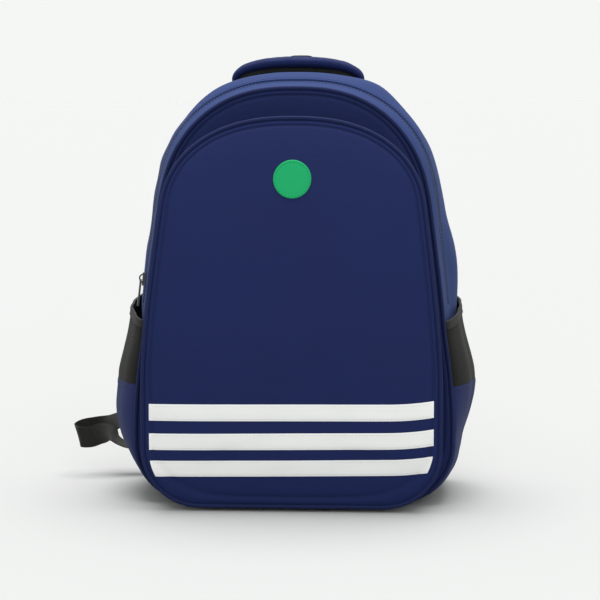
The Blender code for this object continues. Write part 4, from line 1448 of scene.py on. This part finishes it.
def build_strap_trim(word, body, line):
    """Bound edges, the webbing sewn along the strap, its stitches, and the webbing that holds the buckle."""
    edge_in, edge_out, outward = [], [], []
    for i, (point, (_, across, away)) in enumerate(zip(line, strap_frames(line))):
        half = strap_width(i / (len(line) - 1)) / 2 - 0.0022
        edge_in.append(point - across * half)
        edge_out.append(point + across * half)
        outward.append(away)
    bm = bmesh.new()
    turn = [edge_in[-1].lerp(edge_out[-1], t / 6) for t in range(1, 6)]
    loop = smooth_path(edge_in[::3] + turn[1:-1] + list(reversed(edge_out))[::3], 4)
    tube_into(bm, loop, 0.0027, 10, Vector((1, 0, 0)))
    piece_from(f"shoulder_strap_binding_{word}", bm, finish("webbing"), body)
    rise = 0.0056
    path = [p + away * rise for p, away in zip(line, outward)][8:]
    bm = cloth_mesh(*ribbon_grids(path, lambda f: (1, 0, 0), 0.025, 0.0014, 4))
    piece_from(f"strap_webbing_{word}", bm, finish("webbing"), body, ("strap_facing_" + word,))
    seams = bmesh.new()
    for way in (-1, 1):
        sew(seams, [p + Vector((way * 0.0105, 0, 0)) + away * (rise + 0.0008)
                    for p, away in zip(line, outward)][8:], (0, 1, 0))
    piece_from(f"strap_stitches_{word}", seams, finish("black thread"), body)
    buckle_low, buckle_high = [Vector(c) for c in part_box("strap_buckle_" + word)]
    top_bar = Vector(((buckle_low.x + buckle_high.x) / 2, (buckle_low.y + buckle_high.y) / 2 + 0.003,
                      buckle_high.z - 0.006))
    under_pad = line[-4] - outward[-4] * 0.001
    hold = smooth_path((under_pad, line[-1] + Vector((0, -0.001, -0.002)), top_bar), 6)
    bm = cloth_mesh(*ribbon_grids(hold, lambda f: (1, 0, 0), 0.023, 0.0030, 4))
    piece_from(f"buckle_webbing_{word}", bm, finish("webbing"), body)


def build_lower_webbing():
    for word, points in WEBBING.items():
        path = smooth_path([p for p, _ in points], 10)
        turns = smooth_path([a for _, a in points], 10)
        last = len(turns) - 1
        bm = cloth_mesh(*ribbon_grids(path, lambda f: turns[min(last, round(f * last))],
                                      sizes().webbing, 0.0014, 6))
        obj = piece_from("lower_webbing_" + word, bm, finish("webbing"), "",
                         ("low_webbing_" + word,))
        end = Vector(path[-1])
        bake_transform(obj)
        build_anchor(word)


def build_anchor(word):
    """Folded cloth tab at a lower corner, where the webbing is sewn in."""
    low, high = [Vector(c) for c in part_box("anchor_tab_" + word)]
    side = -1 if word == "left" else 1
    xs = sorted((abs(low.x), abs(high.x)))
    corners = ((xs[0], low.z + 0.004), (xs[1], low.z + 0.012), (xs[1], high.z), (xs[1] - 0.012, high.z))

    def spot(row, column, outer):
        left = Vector(corners[0]).lerp(Vector(corners[3]), row)
        right = Vector(corners[1]).lerp(Vector(corners[2]), row)
        x, z = left.lerp(right, column)
        edge = (1 - abs(2 * row - 1) ** 6) * (1 - abs(2 * column - 1) ** 6)
        return Vector((side * x, back_y(z) + (0.0008 + PATCH_RISE * edge if outer else CLOTH_GAP), z))

    bm = cloth_mesh(*two_layers(8, 8, spot))
    piece_from("anchor_cloth_" + word, bm, finish("strap cloth"), "bag",
               ("anchor_tab_" + word,))


# ---- Inside -------------------------------------------------------------------------------
SLEEVE_DEPTH = 0.0236


def build_inside():
    refinish("base_board", "lining")
    low, high = [Vector(c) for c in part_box("tablet_sleeve")]

    def spot(row, column, outer):
        inset = 0.0 if outer else 0.0026
        z = low.z + (high.z - low.z) * row
        f = 2 * column - 1
        x = (high.x - inset) * math.copysign(abs(f) ** 0.85, f)
        depth = (SLEEVE_DEPTH - inset) * (1 - abs(f) ** 14)
        sag = 0.0012 * noise.noise(Vector((x * 12, 3.0, z * 12))) * (1 - abs(f) ** 6)
        return Vector((x, back_y(z) - WALL - 0.0002 - depth + sag, z))

    bm = cloth_mesh(*two_layers(16, 30, spot))
    piece_from("tablet_sleeve_cloth", bm, finish("lining"), "bag", ("tablet_sleeve",))


# ---- Stage --------------------------------------------------------------------------------
CAMERA_AZIMUTH = 3.0
CAMERA_RISE = 6.0
CAMERA_AWAY = 2.0
FRAME_SCALE = 1041.0 / 600.0  # share of the view's width that one metre fills at the front panel
AIM = (0.0087, -0.100, 0.2074)
SKY_COLOUR, SKY_STRENGTH = (0.985, 1.0, 0.985, 1.0), 0.925
# Soft lamps: tilt and turn in degrees, strength, spread in degrees
LAMPS = (("overhead", (-10, -4), 5.0, 50), ("front fill", (64, 8), 1.25, 50))


def build_stage():
    scene = bpy.context.scene
    bm = bmesh.new()
    bmesh.ops.create_circle(bm, cap_ends=True, segments=96, radius=40.0)
    mesh = bpy.data.meshes.new("floor")
    bm.to_mesh(mesh)
    bm.free()
    floor = bpy.data.objects.new("floor", mesh)
    mesh.materials.append(finish("floor"))
    scene.collection.objects.link(floor)
    world = bpy.data.worlds.new("studio")
    scene.world = world
    world.use_nodes = True
    sky = world.node_tree.nodes["Background"]
    sky.inputs["Color"].default_value = SKY_COLOUR
    sky.inputs["Strength"].default_value = SKY_STRENGTH
    for name, (tilt, turn), strength, spread in LAMPS:
        light = bpy.data.lights.new(name, "SUN")
        light.energy = strength
        light.angle = math.radians(spread)
        lamp = bpy.data.objects.new(name, light)
        lamp.rotation_euler = (math.radians(tilt), 0, math.radians(turn))
        scene.collection.objects.link(lamp)
    camera = bpy.data.cameras.new("camera")
    camera.sensor_width = 36.0
    camera.lens = 36.0 * FRAME_SCALE * CAMERA_AWAY
    camera.clip_end = 200.0
    eye = bpy.data.objects.new("camera", camera)
    az, rise = math.radians(CAMERA_AZIMUTH), math.radians(CAMERA_RISE)
    away = Vector((math.sin(az) * math.cos(rise), -math.cos(az) * math.cos(rise), math.sin(rise)))
    eye.location = Vector(AIM) + away * CAMERA_AWAY
    eye.rotation_euler = (-away).to_track_quat("-Z", "Y").to_euler()
    scene.collection.objects.link(eye)
    scene.camera = eye
    scene.view_settings.view_transform = "Standard"


# ---- Add-on -------------------------------------------------------------------------------
class BACKPACK_OT_stage(bpy.types.Operator):
    """Builds the floor, the lights and the camera"""

    bl_idname = "backpack.stage"
    bl_label = "Stage"

    def execute(self, context):
        build_stage()
        return {"FINISHED"}


class BACKPACK_OT_gussets(bpy.types.Operator):
    """Builds the gussets and base of the main compartment"""

    bl_idname = "backpack.gussets"
    bl_label = "Gussets"

    def execute(self, context):
        build_gussets()
        return {"FINISHED"}


class BACKPACK_OT_front_wall(bpy.types.Operator):
    """Builds the main front wall and its piping"""

    bl_idname = "backpack.front_wall"
    bl_label = "Front wall"

    def execute(self, context):
        build_front_wall()
        return {"FINISHED"}


class BACKPACK_OT_front_panel(bpy.types.Operator):
    """Builds the padded front panel and its piping"""

    bl_idname = "backpack.front_panel"
    bl_label = "Front panel"

    def execute(self, context):
        build_front_panel()
        return {"FINISHED"}


class BACKPACK_OT_strips(bpy.types.Operator):
    """Sews the reflective strips on the front panel"""

    bl_idname = "backpack.strips"
    bl_label = "Reflective strips"

    def execute(self, context):
        build_strips()
        return {"FINISHED"}


class BACKPACK_OT_patch(bpy.types.Operator):
    """Sews the round patch on the front panel"""

    bl_idname = "backpack.patch"
    bl_label = "Patch"

    def execute(self, context):
        build_patch()
        return {"FINISHED"}


class BACKPACK_OT_pocket_gusset(bpy.types.Operator):
    """Builds the front pocket's gusset"""

    bl_idname = "backpack.pocket_gusset"
    bl_label = "Pocket gusset"

    def execute(self, context):
        build_pocket_gusset()
        return {"FINISHED"}


class BACKPACK_OT_zips(bpy.types.Operator):
    """Builds both zips' tapes and teeth"""

    bl_idname = "backpack.zips"
    bl_label = "Zips"

    def execute(self, context):
        build_zips()
        return {"FINISHED"}


class BACKPACK_OT_sliders(bpy.types.Operator):
    """Finishes the zip sliders and pulls"""

    bl_idname = "backpack.sliders"
    bl_label = "Sliders"

    def execute(self, context):
        build_sliders()
        return {"FINISHED"}


class BACKPACK_OT_side_pockets(bpy.types.Operator):
    """Builds the side pockets"""

    bl_idname = "backpack.side_pockets"
    bl_label = "Side pockets"

    def execute(self, context):
        build_side_pockets()
        return {"FINISHED"}


class BACKPACK_OT_handle(bpy.types.Operator):
    """Builds the haul handle"""

    bl_idname = "backpack.handle"
    bl_label = "Handle"

    def execute(self, context):
        build_handle()
        return {"FINISHED"}


class BACKPACK_OT_hang_loop(bpy.types.Operator):
    """Builds the hang loop"""

    bl_idname = "backpack.hang_loop"
    bl_label = "Hang loop"

    def execute(self, context):
        build_hang_loop()
        return {"FINISHED"}


class BACKPACK_OT_back(bpy.types.Operator):
    """Builds the back, its pads and the strap yoke"""

    bl_idname = "backpack.back"
    bl_label = "Back"

    def execute(self, context):
        build_back()
        return {"FINISHED"}


class BACKPACK_OT_straps(bpy.types.Operator):
    """Builds the padded shoulder straps"""

    bl_idname = "backpack.straps"
    bl_label = "Shoulder straps"

    def execute(self, context):
        build_straps()
        return {"FINISHED"}


class BACKPACK_OT_lower_webbing(bpy.types.Operator):
    """Builds the lower webbings and their anchors"""

    bl_idname = "backpack.lower_webbing"
    bl_label = "Lower webbing"

    def execute(self, context):
        build_lower_webbing()
        return {"FINISHED"}


class BACKPACK_OT_inside(bpy.types.Operator):
    """Builds the tablet sleeve and finishes the base board"""

    bl_idname = "backpack.inside"
    bl_label = "Inside"

    def execute(self, context):
        build_inside()
        return {"FINISHED"}


# In the order in which they are built
OPERATORS = (BACKPACK_OT_stage, BACKPACK_OT_gussets, BACKPACK_OT_front_wall,
             BACKPACK_OT_front_panel, BACKPACK_OT_strips, BACKPACK_OT_patch,
             BACKPACK_OT_pocket_gusset, BACKPACK_OT_zips, BACKPACK_OT_sliders,
             BACKPACK_OT_side_pockets, BACKPACK_OT_handle, BACKPACK_OT_hang_loop,
             BACKPACK_OT_back, BACKPACK_OT_straps, BACKPACK_OT_lower_webbing,
             BACKPACK_OT_inside)


class BACKPACK_PT_panel(bpy.types.Panel):
    """Lists the backpack's pieces, sizes and colours."""

    bl_label = "Backpack"
    bl_idname = "BACKPACK_PT_panel"
    bl_space_type = "VIEW_3D"
    bl_region_type = "UI"
    bl_category = "Backpack"

    def draw(self, context):
        for group in (context.scene.backpack_sizes, context.scene.backpack_colours):
            box = self.layout.box()
            for key in group.__annotations__:
                box.prop(group, key)
        for cls in OPERATORS:
            self.layout.operator(cls.bl_idname)


CLASSES = (BackpackSizes, BackpackColours, *OPERATORS, BACKPACK_PT_panel)


def register():
    for cls in CLASSES:
        bpy.utils.register_class(cls)
    bpy.types.Scene.backpack_sizes = PointerProperty(type=BackpackSizes)
    bpy.types.Scene.backpack_colours = PointerProperty(type=BackpackColours)


def unregister():
    del bpy.types.Scene.backpack_sizes
    del bpy.types.Scene.backpack_colours
    for cls in reversed(CLASSES):
        bpy.utils.unregister_class(cls)


def main():
    register()
    for cls in OPERATORS:
        getattr(bpy.ops.backpack, cls.bl_idname.split(".")[1])()


if __name__ == "__main__":
    main()
